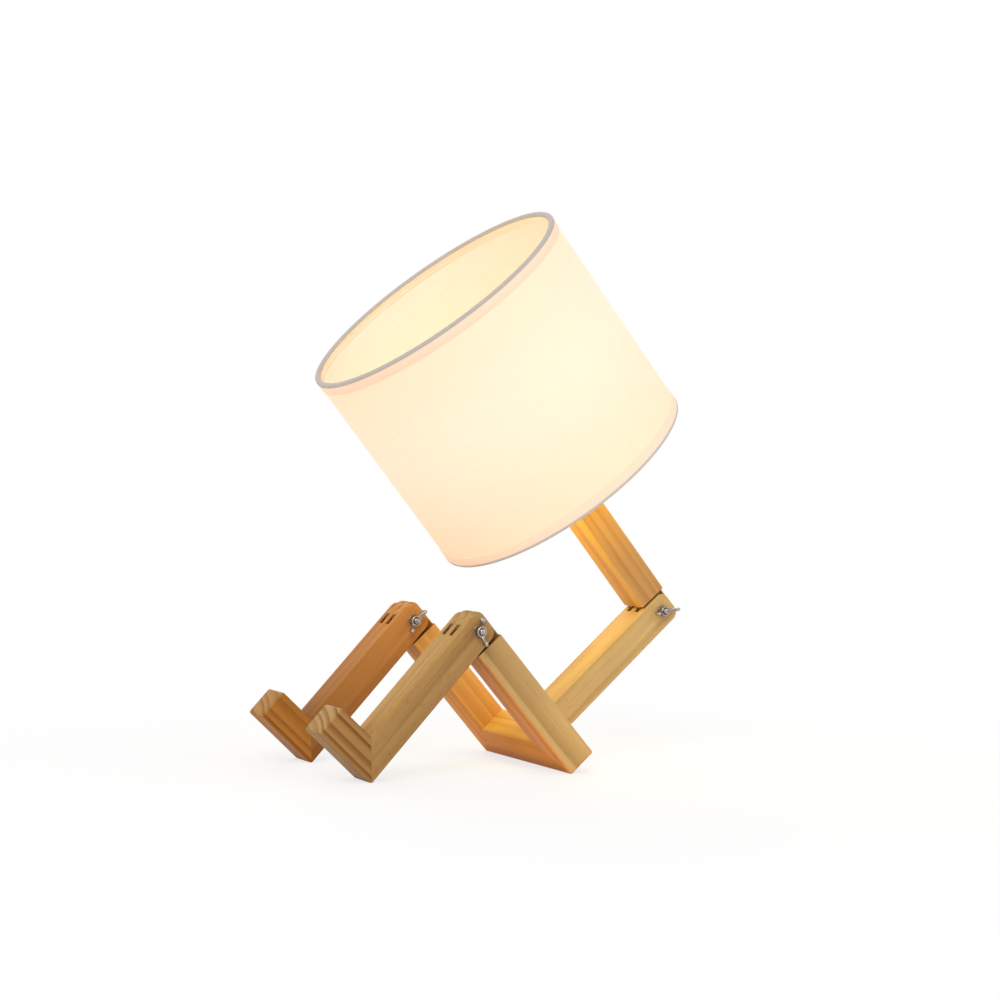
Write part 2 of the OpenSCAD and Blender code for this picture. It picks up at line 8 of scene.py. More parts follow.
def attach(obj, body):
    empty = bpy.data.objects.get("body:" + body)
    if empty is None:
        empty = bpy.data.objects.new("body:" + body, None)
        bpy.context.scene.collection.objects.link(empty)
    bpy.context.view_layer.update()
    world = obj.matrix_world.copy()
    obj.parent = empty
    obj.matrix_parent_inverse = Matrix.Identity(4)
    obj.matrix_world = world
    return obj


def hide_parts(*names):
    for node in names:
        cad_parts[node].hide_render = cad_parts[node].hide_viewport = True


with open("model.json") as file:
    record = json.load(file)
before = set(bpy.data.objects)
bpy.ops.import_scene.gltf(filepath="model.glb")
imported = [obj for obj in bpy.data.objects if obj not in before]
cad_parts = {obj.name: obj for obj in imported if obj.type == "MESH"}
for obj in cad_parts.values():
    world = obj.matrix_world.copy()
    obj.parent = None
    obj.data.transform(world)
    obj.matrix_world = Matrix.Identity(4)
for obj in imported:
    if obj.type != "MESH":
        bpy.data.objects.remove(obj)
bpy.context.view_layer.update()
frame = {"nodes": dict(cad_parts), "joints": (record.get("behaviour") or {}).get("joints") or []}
nodes = frame["nodes"]
joints = {joint["name"]: Vector(joint["pos_m"]) for joint in frame["joints"]}
mm = 0.001

# ---- camera ----
camera = {
    "place": (-0.6937, -1.3597, 0.2034),
    "right": (0.88799, -0.45908, 0.02688),
    "up": (-0.01918, 0.02144, 0.99959),
    "ahead": (0.45947, 0.88813, -0.01024),
    "lens": 77.47,
}


def makeCamera(settings):
    data = bpy.data.cameras.new("camera")
    data.lens = settings["lens"]
    data.sensor_width = 36
    viewer = bpy.data.objects.new("camera", data)
    bpy.context.scene.collection.objects.link(viewer)
    turn = Matrix((settings["right"], settings["up"], [-v for v in settings["ahead"]])).transposed()
    viewer.matrix_world = Matrix.Translation(settings["place"]) @ turn.to_4x4()
    bpy.context.scene.camera = viewer


makeCamera(camera)
print("camera set")

# ---- places of the bars, all from the joints ----
figure = {
    "thighSlope": 48, "shinSlope": 47.596, "neckAngle": 88.5,
    "barWidth": 27 * mm, "barThick": 22.5 * mm, "edge": 1.5 * mm, "corner": 2 * mm,
    "thigh": 124.5 * mm, "shin": 125.5 * mm, "foot": 51.5 * mm, "torso": 126.5 * mm, "arm": 112 * mm,
    "fingerWidth": 5.4 * mm, "fingerGap": 0.08 * mm, "slot": 14.25 * mm, "shoulder": 12.95 * mm,
    "shinEnd": 9 * mm, "torsoEnd": 10 * mm, "thighEnd": 11 * mm, "knuckle": 6.5 * mm, "bolt": 4 * mm, "shadeFrom": 126 * mm,
}
legY = joints["knee_right"].y
halfWidth = figure["barWidth"] / 2
halfThick = figure["barThick"] / 2
spanY = legY + halfWidth


def turnY(degrees):
    return Matrix.Rotation(math.radians(degrees), 4, "Y")


def kneeFrame(side):
    place = joints["knee_left" if side < 0 else "knee_right"]
    return Matrix.Translation(place)


hipFrame = Matrix.Translation((joints["knee_left"].x, 0, joints["knee_left"].z)) @ turnY(figure["thighSlope"])
torsoFrame = hipFrame @ Matrix.Translation((figure["thigh"] - halfWidth, 0, halfThick)) @ turnY(-90)
neckFrame = Matrix.Translation(joints["neck"])
armFrame = neckFrame @ turnY(figure["thighSlope"] - 90 - figure["neckAngle"])
lampFrame = armFrame @ Matrix.Translation((figure["arm"], 0, 0)) @ turnY(90)
shadeFrame = armFrame @ Matrix.Translation((figure["shadeFrom"], 0, 0)) @ turnY(90)


def legFrame(side):
    return kneeFrame(side) @ turnY(180 - figure["shinSlope"])


# ---- modelling helpers ----
def deselectAll():
    if bpy.context.object and bpy.context.object.mode != "OBJECT":
        bpy.ops.object.mode_set(mode="OBJECT")
    bpy.ops.object.select_all(action="DESELECT")


def startPiece(name):
    piece = bpy.context.object
    piece.name = name
    piece.data.name = name
    bpy.ops.object.transform_apply(location=True, rotation=True, scale=True)
    bpy.ops.object.mode_set(mode="EDIT")
    bpy.context.tool_settings.mesh_select_mode = (False, True, False)
    return piece


def pickEdges(piece, test):
    bpy.context.tool_settings.mesh_select_mode = (False, True, False)
    bpy.ops.mesh.select_all(action="DESELECT")
    mesh = bmesh.from_edit_mesh(piece.data)
    for edge in mesh.edges:
        if test(edge.verts[0].co, edge.verts[1].co, edge):
            edge.select_set(True)
    bmesh.update_edit_mesh(piece.data)


def pickFaces(piece, test):
    bpy.context.tool_settings.mesh_select_mode = (False, False, True)
    bpy.ops.mesh.select_all(action="DESELECT")
    mesh = bmesh.from_edit_mesh(piece.data)
    for face in mesh.faces:
        if test(face.calc_center_median(), face.normal):
            face.select_set(True)
    bmesh.update_edit_mesh(piece.data)


def pickVertices(piece, test):
    bpy.context.tool_settings.mesh_select_mode = (True, False, False)
    bpy.ops.mesh.select_all(action="DESELECT")
    mesh = bmesh.from_edit_mesh(piece.data)
    for vertex in mesh.verts:
        vertex.select_set(test(vertex.co))
    mesh.select_flush_mode()
    bmesh.update_edit_mesh(piece.data)


def cleanMesh():
    bpy.ops.mesh.select_all(action="SELECT")
    bpy.ops.mesh.remove_doubles(threshold=0.000004)
    bpy.ops.mesh.normals_make_consistent(inside=False)


def activate(piece):
    deselectAll()
    piece.select_set(True)
    bpy.context.view_layer.objects.active = piece


def applyModifier(piece, kind, **settings):
    activate(piece)
    modifier = piece.modifiers.new(kind.lower(), kind)
    for key, value in settings.items():
        setattr(modifier, key, value)
    bpy.ops.object.modifier_apply(modifier=modifier.name)


def cutWith(piece, cutter, operation="DIFFERENCE"):
    applyModifier(piece, "BOOLEAN", object=cutter, operation=operation, solver="EXACT")
    bpy.data.objects.remove(cutter)


def boxCutter(low, high):
    deselectAll()
    middle = [(a + b) / 2 for a, b in zip(low, high)]
    size = [abs(b - a) for a, b in zip(low, high)]
    bpy.ops.mesh.primitive_cube_add(size=1, location=middle, scale=size)
    bpy.ops.object.transform_apply(location=True, rotation=True, scale=True)
    return bpy.context.object


def rodCutter(radius, length, place=Matrix.Identity(4), vertices=40):
    deselectAll()
    bpy.ops.mesh.primitive_cylinder_add(vertices=vertices, radius=radius, depth=length)
    cutter = bpy.context.object
    cutter.matrix_world = place
    bpy.ops.object.transform_apply(location=True, rotation=True, scale=True)
    return cutter


def placePiece(piece, place):
    activate(piece)
    piece.matrix_world = place
    bpy.ops.object.transform_apply(location=True, rotation=True, scale=True)


def finishPiece(piece, place, body, material, slot, *replaced, angle=35):
    placePiece(piece, place)
    # cuts leave slivers far thinner than a micrometre
    bpy.ops.object.mode_set(mode="EDIT")
    bpy.ops.mesh.select_all(action="SELECT")
    bpy.ops.mesh.dissolve_degenerate(threshold=5e-7)
    bpy.ops.object.mode_set(mode="OBJECT")
    bpy.ops.object.shade_smooth_by_angle(angle=math.radians(angle))
    piece.data.materials.clear()
    piece.data.materials.append(material)
    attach(piece, body)
    if replaced:
        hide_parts(*replaced)
    return piece


def turnPiece(name, rings, vertices=72, closed="ends"):
    # a circle is extruded and scaled ring by ring along Z
    deselectAll()
    radius, height = rings[0]
    bpy.ops.mesh.primitive_circle_add(vertices=vertices, radius=radius, location=(0, 0, height))
    piece = startPiece(name)
    bpy.ops.mesh.select_all(action="SELECT")
    for nextRadius, nextHeight in rings[1:]:
        bpy.ops.mesh.extrude_region_move(TRANSFORM_OT_translate={"value": (0, 0, nextHeight - height)})
        factor = nextRadius / radius
        bpy.ops.transform.resize(value=(factor, factor, 1), center_override=(0, 0, nextHeight))
        radius, height = nextRadius, nextHeight
    if closed == "ends":
        for radius, height in (rings[0], rings[-1]):
            pickEdges(piece, lambda a, b, edge: edge.is_boundary and onRing(a, radius, height) and onRing(b, radius, height))
            bpy.ops.mesh.edge_face_add()
    elif closed == "loop":
        pickEdges(piece, lambda a, b, edge: edge.is_boundary)
        bpy.ops.mesh.bridge_edge_loops()
    cleanMesh()
    bpy.ops.object.mode_set(mode="OBJECT")
    return piece


def onRing(point, radius, height):
    return abs(point.z - height) < 2e-6 and abs(math.hypot(point.x, point.y) - radius) < 2e-5


def joinPieces(name, *parts):
    deselectAll()
    for part in parts:
        part.select_set(True)
    bpy.context.view_layer.objects.active = parts[0]
    bpy.ops.object.join()
    piece = bpy.context.object
    piece.name = name
    piece.data.name = name
    return piece


def copyPiece(piece, name):
    deselectAll()
    twin = piece.copy()
    twin.data = piece.data.copy()
    twin.name = name
    twin.data.name = name
    bpy.context.scene.collection.objects.link(twin)
    return twin


# ---- node helpers ----
def addNode(tree, kind, inputs=None, **settings):
    node = tree.nodes.new(kind)
    for key, value in settings.items():
        setattr(node, key, value)
    for key, value in (inputs or {}).items():
        if isinstance(value, bpy.types.NodeSocket):
            tree.links.new(value, node.inputs[key])
        else:
            node.inputs[key].default_value = value
    return node


def calc(tree, operation, a, b=0.0, c=0.0):
    return addNode(tree, "ShaderNodeMath", {0: a, 1: b, 2: c}, operation=operation).outputs[0]


def scaled(tree, vector, factor):
    return addNode(tree, "ShaderNodeVectorMath", {0: vector, 1: factor}, operation="MULTIPLY").outputs[0]


def noise(tree, vector, scale, detail=2.0, roughness=0.5):
    node = addNode(tree, "ShaderNodeTexNoise", {"Vector": vector, "Scale": scale, "Detail": detail, "Roughness": roughness})
    return node.outputs[0]


def ramped(tree, value, low, high, toLow=0.0, toHigh=1.0, smooth=True):
    node = addNode(tree, "ShaderNodeMapRange", {0: value, 1: low, 2: high, 3: toLow, 4: toHigh})
    node.interpolation_type = "SMOOTHSTEP" if smooth else "LINEAR"
    return node.outputs[0]


def mixColor(tree, factor, a, b, mode="MIX"):
    node = addNode(tree, "ShaderNodeMix", {0: factor, 6: a, 7: b}, data_type="RGBA", blend_type=mode)
    return node.outputs[2]


def makeGroup(name, inputs, outputs):
    group = bpy.data.node_groups.new(name, "ShaderNodeTree")
    for label, kind, value in inputs:
        socket = group.interface.new_socket(name=label, in_out="INPUT", socket_type=kind)
        if value is not None:
            socket.default_value = value
    for label, kind in outputs:
        group.interface.new_socket(name=label, in_out="OUTPUT", socket_type=kind)
    return group, group.nodes.new("NodeGroupInput"), group.nodes.new("NodeGroupOutput")


def color(red, green, blue):
    # screen values to the shader's own linear ones
    def straight(value):
        value /= 255
        return value / 12.92 if value <= 0.04045 else ((value + 0.055) / 1.055) ** 2.4
    return (straight(red), straight(green), straight(blue), 1.0)


def startMaterial(name):
    material = bpy.data.materials.new(name)
    material.use_nodes = True
    tree = material.node_tree
    shader = tree.nodes["Principled BSDF"]
    return material, tree, shader


def localPoint(tree, place):
    # object coordinates turned into the piece's own frame
    where = addNode(tree, "ShaderNodeTexCoord").outputs["Object"]
    mapping = addNode(tree, "ShaderNodeMapping", {"Vector": where}, vector_type="TEXTURE")
    mapping.inputs["Location"].default_value = place.to_translation()
    mapping.inputs["Rotation"].default_value = place.to_euler("XYZ")
    return mapping.outputs[0]


def addBump(tree, shader, height, strength, distance):
    bump = addNode(tree, "ShaderNodeBump", {"Strength": strength, "Distance": distance, "Height": height})
    tree.links.new(bump.outputs[0], shader.inputs["Normal"])


# ---- wood ----
def makeWoodGroup():
    group, given, result = makeGroup(
        "solidWood",
        [
            ("Point", "NodeSocketVector", None), ("Pith", "NodeSocketVector", (0, 0.03, 0.02)),
            ("Spacing", "NodeSocketFloat", 0.004), ("Wander", "NodeSocketFloat", 0.003),
            ("Early", "NodeSocketColor", (0.6, 0.4, 0.2, 1)), ("Late", "NodeSocketColor", (0.3, 0.15, 0.05, 1)),
            ("Contrast", "NodeSocketFloat", 0.6), ("Streaks", "NodeSocketFloat", 0.3), ("Pores", "NodeSocketFloat", 0.4),
            ("Drift", "NodeSocketFloat", 0.0), ("Sap", "NodeSocketColor", (1, 1, 1, 1)),
            ("SapWay", "NodeSocketVector", (0, 0, 1)), ("SapFrom", "NodeSocketFloat", 1.0),
        ],
        [("Color", "NodeSocketColor"), ("Roughness", "NodeSocketFloat"), ("Height", "NodeSocketFloat")],
    )
    point = given.outputs["Point"]
    off = addNode(group, "ShaderNodeVectorMath", {0: point, 1: given.outputs["Pith"]}, operation="SUBTRACT").outputs[0]
    across = addNode(group, "ShaderNodeVectorMath", {0: off, 1: (0.06, 1, 1)}, operation="MULTIPLY").outputs[0]
    fromPith = addNode(group, "ShaderNodeVectorMath", {0: across}, operation="LENGTH").outputs["Value"]
    slow = noise(group, scaled(group, off, (6, 30, 30)), 1.0, 2.0)
    wander = calc(group, "MULTIPLY", calc(group, "SUBTRACT", slow, 0.5), given.outputs["Wander"])
    depth = calc(group, "DIVIDE", calc(group, "ADD", fromPith, wander), given.outputs["Spacing"])
    uneven = addNode(group, "ShaderNodeTexNoise", {"W": calc(group, "MULTIPLY", depth, 0.55), "Scale": 1.0, "Detail": 0.0},
                     noise_dimensions="1D").outputs[0]
    depth = calc(group, "ADD", depth, calc(group, "MULTIPLY", uneven, 1.3))
    phase = calc(group, "FRACT", depth)
    late = calc(group, "MULTIPLY", ramped(group, phase, 0.25, 0.9), ramped(group, phase, 0.91, 1.0, 1.0, 0.0))
    year = addNode(group, "ShaderNodeTexWhiteNoise", {"W": calc(group, "FLOOR", depth)}, noise_dimensions="1D").outputs[0]
    late = calc(group, "MULTIPLY", late, calc(group, "MULTIPLY_ADD", year, 0.6, 0.4))
    late = calc(group, "MULTIPLY", late, given.outputs["Contrast"])
    tone = mixColor(group, late, given.outputs["Early"], given.outputs["Late"])
    # long soft streaks, and fine fibres across them
    streak = noise(group, scaled(group, off, (5, 140, 140)), 1.0, 3.0, 0.55)
    streakMask = calc(group, "MULTIPLY", ramped(group, streak, 0.5, 0.72), given.outputs["Streaks"])
    tone = mixColor(group, streakMask, tone, given.outputs["Late"])
    fibre = noise(group, scaled(group, off, (28, 1500, 1500)), 1.0, 2.0, 0.6)
    tone = mixColor(group, 0.16, tone, ramped(group, fibre, 0.25, 0.75, 0.35, 1.0), "MULTIPLY")
    cloud = noise(group, scaled(group, off, (14, 45, 45)), 1.0, 2.0)
    tone = mixColor(group, 0.22, tone, ramped(group, cloud, 0.25, 0.75, 0.55, 1.0), "MULTIPLY")
    # painted light: the tone brightens or darkens steadily from one end of the bar to the other, as the lamp's light
    # falls off along it
    along = addNode(group, "ShaderNodeSeparateXYZ", {0: point}).outputs[0]
    tone = mixColor(group, 1.0, tone, calc(group, "MULTIPLY_ADD", along, given.outputs["Drift"], 1.0), "MULTIPLY")
    # painted light and shade: one face of a bar gets another tone, lighter, darker or warmer as the lamp's light falls
    # on it
    toPaintedFace = addNode(group, "ShaderNodeVectorMath", {0: point, 1: given.outputs["SapWay"]}, operation="DOT_PRODUCT").outputs["Value"]
    paintedFace = ramped(group, calc(group, "SUBTRACT", toPaintedFace, given.outputs["SapFrom"]), 0.0, 0.0011)
    tone = mixColor(group, paintedFace, tone, mixColor(group, 1.0, tone, given.outputs["Sap"], "MULTIPLY"))
    poreNoise = noise(group, scaled(group, off, (150, 2000, 2000)), 1.0, 1.0, 0.4)
    pore = calc(group, "MULTIPLY", ramped(group, poreNoise, 0.62, 0.72), given.outputs["Pores"])
    tone = mixColor(group, pore, tone, mixColor(group, 0.6, given.outputs["Late"], (0.05, 0.025, 0.01, 1)))
    group.links.new(tone, result.inputs["Color"])
    rough = calc(group, "MULTIPLY_ADD", fibre, 0.14, 0.46)
    rough = calc(group, "MULTIPLY_ADD", late, -0.08, rough)
    group.links.new(calc(group, "MULTIPLY_ADD", pore, 0.12, rough), result.inputs["Roughness"])
    height = calc(group, "MULTIPLY_ADD", fibre, 0.5, calc(group, "MULTIPLY", late, 0.35))
    group.links.new(calc(group, "MULTIPLY_ADD", pore, -0.8, height), result.inputs["Height"])
    return group


woodGroup = makeWoodGroup()


def makeFingerPaintedShadeGroup():
    # painted shade: the slot walls and fingers inside a finger joint are darkened where shade falls in the recesses
    group, given, result = makeGroup(
        "fingerPaintedShade",
        [
            ("Point", "NodeSocketVector", None), ("BoltAt", "NodeSocketFloat", 0.0), ("Way", "NodeSocketFloat", 1.0),
            ("Side", "NodeSocketFloat", 0.0),
        ],
        [("Mask", "NodeSocketFloat")],
    )
    split = addNode(group, "ShaderNodeSeparateXYZ", {0: given.outputs["Point"]})
    along = calc(group, "MULTIPLY", calc(group, "SUBTRACT", split.outputs[0], given.outputs["BoltAt"]), given.outputs["Way"])
    inSlot = calc(group, "MULTIPLY", ramped(group, along, 0.001, 0.002), ramped(group, along, 0.0146, 0.015, 1.0, 0.0))
    deep = calc(group, "MULTIPLY", ramped(group, calc(group, "ABSOLUTE", split.outputs[2]), 0.0103, 0.0108, 1.0, 0.0),
                ramped(group, calc(group, "ABSOLUTE", split.outputs[1]), 0.0124, 0.0129, 1.0, 0.0))
    side = calc(group, "MULTIPLY", split.outputs[2], given.outputs["Side"])
    onFinger = calc(group, "MULTIPLY", ramped(group, side, 0.005, 0.0068), ramped(group, along, 0.012, 0.0126, 1.0, 0.0))
    group.links.new(calc(group, "MAXIMUM", calc(group, "MULTIPLY", inSlot, deep), onFinger), result.inputs["Mask"])
    return group


fingerPaintedShadeGroup = makeFingerPaintedShadeGroup()


def makeWood(name, place, settings, joint=None):
    material, tree, shader = startMaterial(name)
    wood = tree.nodes.new("ShaderNodeGroup")
    wood.node_tree = woodGroup
    tree.links.new(localPoint(tree, place), wood.inputs["Point"])
    for key, value in settings.items():
        wood.inputs[key].default_value = value
    tone = wood.outputs["Color"]
    if joint:
        paintedJointShade = tree.nodes.new("ShaderNodeGroup")
        paintedJointShade.node_tree = fingerPaintedShadeGroup
        tree.links.new(wood.inputs["Point"].links[0].from_socket, paintedJointShade.inputs["Point"])
        for key, value in joint.items():
            paintedJointShade.inputs[key].default_value = value
        # painted shade: the masked faces in the joint are darkened as if in shadow
        tone = mixColor(tree, paintedJointShade.outputs["Mask"], tone, mixColor(tree, 1.0, tone, (0.36, 0.26, 0.18, 1), "MULTIPLY"))
    tree.links.new(tone, shader.inputs["Base Color"])
    tree.links.new(wood.outputs["Roughness"], shader.inputs["Roughness"])
    shader.inputs["Specular IOR Level"].default_value = 0.1
    addBump(tree, shader, wood.outputs["Height"], 0.3, 0.0001)
    return material


def barWood(**changes):
    settings = {
        "Pith": (0, 0.045, 0.03), "Spacing": 0.0042, "Wander": 0.004,
        "Early": color(214, 172, 116), "Late": color(168, 118, 66),
        "Contrast": 0.6, "Streaks": 0.35, "Pores": 0.4,
    }
    settings.update(changes)
    return settings


# each bar's tones hold the wood's own colour and partly painted light and shade: bars on the lamp's side are warmer,
# bars in shade darker
woods = {
    "shinLeft": barWood(Pith=(0.4, 0.055, -0.09), Spacing=0.0075, Contrast=0.4, Streaks=0.45, Pores=0.45,
                        Early=color(173, 133, 80), Late=color(137, 94, 50),
                        Sap=(1.25, 1.27, 1.02, 1), SapWay=(0, 0, -1), SapFrom=0.0099),
    "footLeft": barWood(Pith=(0, 0.026, 0.068), Spacing=0.0055, Wander=0.002, Contrast=0.95, Streaks=0.2, Pores=0.12,
                        Early=color(170, 126, 71), Late=color(117, 66, 24),
                        Sap=(1.14, 1.31, 1.5, 1), SapWay=(1, 0, 0), SapFrom=0.0388),
    "shinRight": barWood(Pith=(0, 0.07, 0.035), Spacing=0.011, Contrast=0.5, Streaks=0.3, Pores=0.1,
                         Drift=-4, Early=color(199, 134, 68), Late=color(163, 96, 40),
                         Sap=(0.96, 0.92, 0.62, 1), SapWay=(0, 0, -1), SapFrom=0.0099),
    "footRight": barWood(Pith=(0, 0.03, 0.075), Spacing=0.0075, Wander=0.002, Contrast=0.9, Streaks=0.25, Pores=0.1,
                         Early=color(177, 117, 50), Late=color(130, 65, 17),
                         Sap=(1, 1.25, 1.7, 1), SapWay=(1, 0, 0), SapFrom=0.0388),
    "thighLeft": barWood(Pith=(0, 0.12, 0.07), Spacing=0.010, Contrast=0.55, Streaks=0.25, Pores=0.2,
                         Drift=4.0, Early=color(181, 146, 93), Late=color(136, 97, 53),
                         Sap=(1.25, 0.78, 0.47, 1), SapWay=(0, 0, -1), SapFrom=0.0099),
    "thighRight": barWood(Pith=(0, 0.06, 0.06), Spacing=0.009, Contrast=0.5, Streaks=0.3, Pores=0.1,
                          Drift=4.5, Early=color(202, 146, 74), Late=color(168, 103, 44),
                          Sap=(0.9, 0.8, 0.74, 1), SapWay=(0, 0, -1), SapFrom=0.0099),
    "crossbar": barWood(Pith=(0, 0.05, 0.09), Spacing=0.009, Contrast=0.5, Streaks=0.35, Pores=0.1,
                        Early=color(222, 146, 59), Late=color(181, 102, 36),
                        Sap=(1.06, 1.45, 1.9, 1), SapWay=(0, 1, 0), SapFrom=0.0121),
    "torso": barWood(Pith=(0.3, 0.08, -0.12), Spacing=0.006, Contrast=0.45, Streaks=0.35, Pores=0.3,
                     Early=color(207, 172, 116), Late=color(168, 124, 73),
                     Sap=(1, 0.96, 0.86, 1), SapWay=(0, 0, 1), SapFrom=0.0099),
    "arm": barWood(Pith=(0, 0.05, 0.10), Spacing=0.011, Wander=0.007, Contrast=0.5, Streaks=0.5, Pores=0.1,
                   Early=color(207, 155, 94), Late=color(168, 104, 50),
                   Sap=(1.27, 1.33, 1, 1), SapWay=(0, 0, 1), SapFrom=0.0099),
}


# ---- wooden bars ----
def makeBar(name, low, high, roundEnd=None, corners=(), flats=()):
    # a box whose knuckle end, corners and long edges are rounded
    deselectAll()
    middle = [(a + b) / 2 for a, b in zip(low, high)]
    size = [b - a for a, b in zip(low, high)]
    bpy.ops.mesh.primitive_cube_add(size=1, location=middle, scale=size)
    piece = startPiece(name)
    near = 2e-5
    if roundEnd is not None:
        pickEdges(piece, lambda a, b, edge: abs(a.x - roundEnd) < near and abs(b.x - roundEnd) < near and abs(a.y - b.y) > 0.001)
        bpy.ops.mesh.bevel(offset=figure["knuckle"], segments=10, profile=0.5, clamp_overlap=False, affect="EDGES")
    if corners:
        pickEdges(piece, lambda a, b, edge: any(
            all(abs(p[axis] - value) < near for p in (a, b) for axis, value in corner.items()) for corner in corners))
        bpy.ops.mesh.bevel(offset=figure["corner"], segments=5, profile=0.5, clamp_overlap=False, affect="EDGES")
    pickEdges(piece, lambda a, b, edge: edge.calc_face_angle() > 1.0 and not any(
        all(abs(p[axis] - value) < near for p in (a, b)) for axis, value in flats))
    bpy.ops.mesh.bevel(offset=figure["edge"], segments=4, profile=0.5, clamp_overlap=False, affect="EDGES")
    cleanMesh()
    return piece


def sawMitre(piece, point, normal):
    bpy.ops.mesh.select_all(action="SELECT")
    bpy.ops.mesh.bisect(plane_co=point, plane_no=normal, use_fill=True, clear_outer=True)


def cutFingers(piece, count, knuckle=1):
    # slots of the knuckle joint: the bar's own X runs away from the bolt when knuckle is 1
    width, gap = figure["fingerWidth"], figure["fingerGap"]
    tall = halfThick + 2 * mm
    if count == 3:
        slots = [(-1.5 * width - gap / 2, -0.5 * width + gap / 2), (0.5 * width - gap / 2, 1.5 * width + gap / 2)]
        depth = figure["slot"]
    else:
        slots = [(-halfWidth - 2 * mm, -1.5 * width + gap / 2), (-0.5 * width - gap / 2, 0.5 * width + gap / 2),
                 (1.5 * width - gap / 2, halfWidth + 2 * mm)]
        depth = figure["shoulder"]
    for low, high in slots:
        cutWith(piece, boxCutter((-tall, low, -tall), (depth, high, tall)))
    cutWith(piece, rodCutter(figure["bolt"] / 2 + 0.06 * mm, figure["barWidth"] + 4 * mm, Matrix.Rotation(math.pi / 2, 4, "X")))


def softenCuts(piece, width=0.1 * mm):
    applyModifier(piece, "BEVEL", width=width, segments=2, limit_method="ANGLE", angle_limit=math.radians(50),
                  use_clamp_overlap=True)


dowel = {"radius": 3.05 * mm, "length": 21 * mm}
mitreTurn = {-1: Vector((1, 1, 0)), 1: Vector((1, -1, 0))}


def hipDowelPlace(side):
    return (Matrix.Translation((figure["thigh"] - halfWidth, side * legY, 0))
            @ Matrix.Rotation(math.radians(-45 * side), 4, "Z") @ turnY(90))


def moved(piece, place):
    placePiece(piece, place)
    return piece


def makeThigh(side, name, body, node, wood):
    piece = makeBar(name, (-figure["thighEnd"], side * legY - halfWidth, -halfThick),
                    (figure["thigh"], side * legY + halfWidth, halfThick),
                    roundEnd=-figure["thighEnd"], corners=[{0: figure["thigh"], 1: side * spanY}])
    inner = Vector((figure["thigh"] - figure["barWidth"], side * (spanY - figure["barWidth"]), 0))
    sawMitre(piece, inner, mitreTurn[side])
    bpy.ops.object.mode_set(mode="OBJECT")
    placePiece(piece, Matrix.Translation((0, -side * legY, 0)))
    cutFingers(piece, 2)
    placePiece(piece, Matrix.Translation((0, side * legY, 0)))
    cutWith(piece, rodCutter(dowel["radius"], dowel["length"], hipDowelPlace(side)))
    softenCuts(piece)
    place = hipFrame @ Matrix.Translation((0, side * legY, 0))
    finishPiece(piece, hipFrame, body, makeWood(name + "_wood", place, wood, {"Side": -1}), "beech", node)


def makeCrossbar(wood):
    near, far = figure["thigh"] - figure["barWidth"], figure["thigh"]
    piece = makeBar("hip_crossbar", (near, -spanY, -halfThick), (far, spanY, halfThick),
                    corners=[{0: far, 1: -spanY}, {0: far, 1: spanY}])
    for side in (-1, 1):
        sawMitre(piece, Vector((near, side * (spanY - figure["barWidth"]), 0)), -mitreTurn[side])
    bpy.ops.object.mode_set(mode="OBJECT")
    for side in (-1, 1):
        cutWith(piece, rodCutter(dowel["radius"], dowel["length"], hipDowelPlace(side)))
    toHip = hipFrame.inverted() @ torsoFrame
    cutWith(piece, torsoHoles(toHip))
    softenCuts(piece)
    place = hipFrame @ Matrix.Translation((figure["thigh"] - halfWidth, 0, 0)) @ Matrix.Rotation(math.pi / 2, 4, "Z")
    finishPiece(piece, hipFrame, "base", makeWood("crossbar_wood", place, wood), "beech", "crossbar")


def torsoHoles(place):
    rods = [rodCutter(dowel["radius"], dowel["length"], place @ Matrix.Translation((0, side * 7.5 * mm, 0)) @ turnY(90))
            for side in (-1, 1)]
    return joinPieces("holes", *rods)


def makeTorso(wood):
    end = figure["torso"] + figure["torsoEnd"]
    piece = makeBar("torso_bar", (0, -halfWidth, -halfThick), (end, halfWidth, halfThick), roundEnd=end, flats=[(0, 0.0)])
    bpy.ops.object.mode_set(mode="OBJECT")
    flip = Matrix.Translation((figure["torso"], 0, 0)) @ turnY(180)
    placePiece(piece, flip.inverted())
    cutFingers(piece, 3)
    placePiece(piece, flip)
    cutWith(piece, torsoHoles(Matrix.Identity(4)))
    softenCuts(piece)
    finishPiece(piece, torsoFrame, "base", makeWood("torso_wood", torsoFrame, wood, {"BoltAt": figure["torso"], "Way": -1}), "beech", "torso")


def makeArm(wood):
    piece = makeBar("arm_bar", (-figure["thighEnd"], -halfWidth, -halfThick), (figure["arm"], halfWidth, halfThick),
                    roundEnd=-figure["thighEnd"], flats=[(0, figure["arm"])])
    bpy.ops.object.mode_set(mode="OBJECT")
    cutFingers(piece, 2)
    bore = Matrix.Translation((figure["arm"], 0, 0)) @ turnY(90)
    cutWith(piece, rodCutter(5.05 * mm, 28 * mm, bore))
    cutWith(piece, rodCutter(4 * mm, 96 * mm, bore))
    cutWith(piece, rodCutter(5.05 * mm, 16 * mm, Matrix.Translation((66 * mm, 0, -halfThick))))
    softenCuts(piece)
    finishPiece(piece, armFrame, "head", makeWood("arm_wood", armFrame, wood, {"Side": 1}), "beech", "arm")


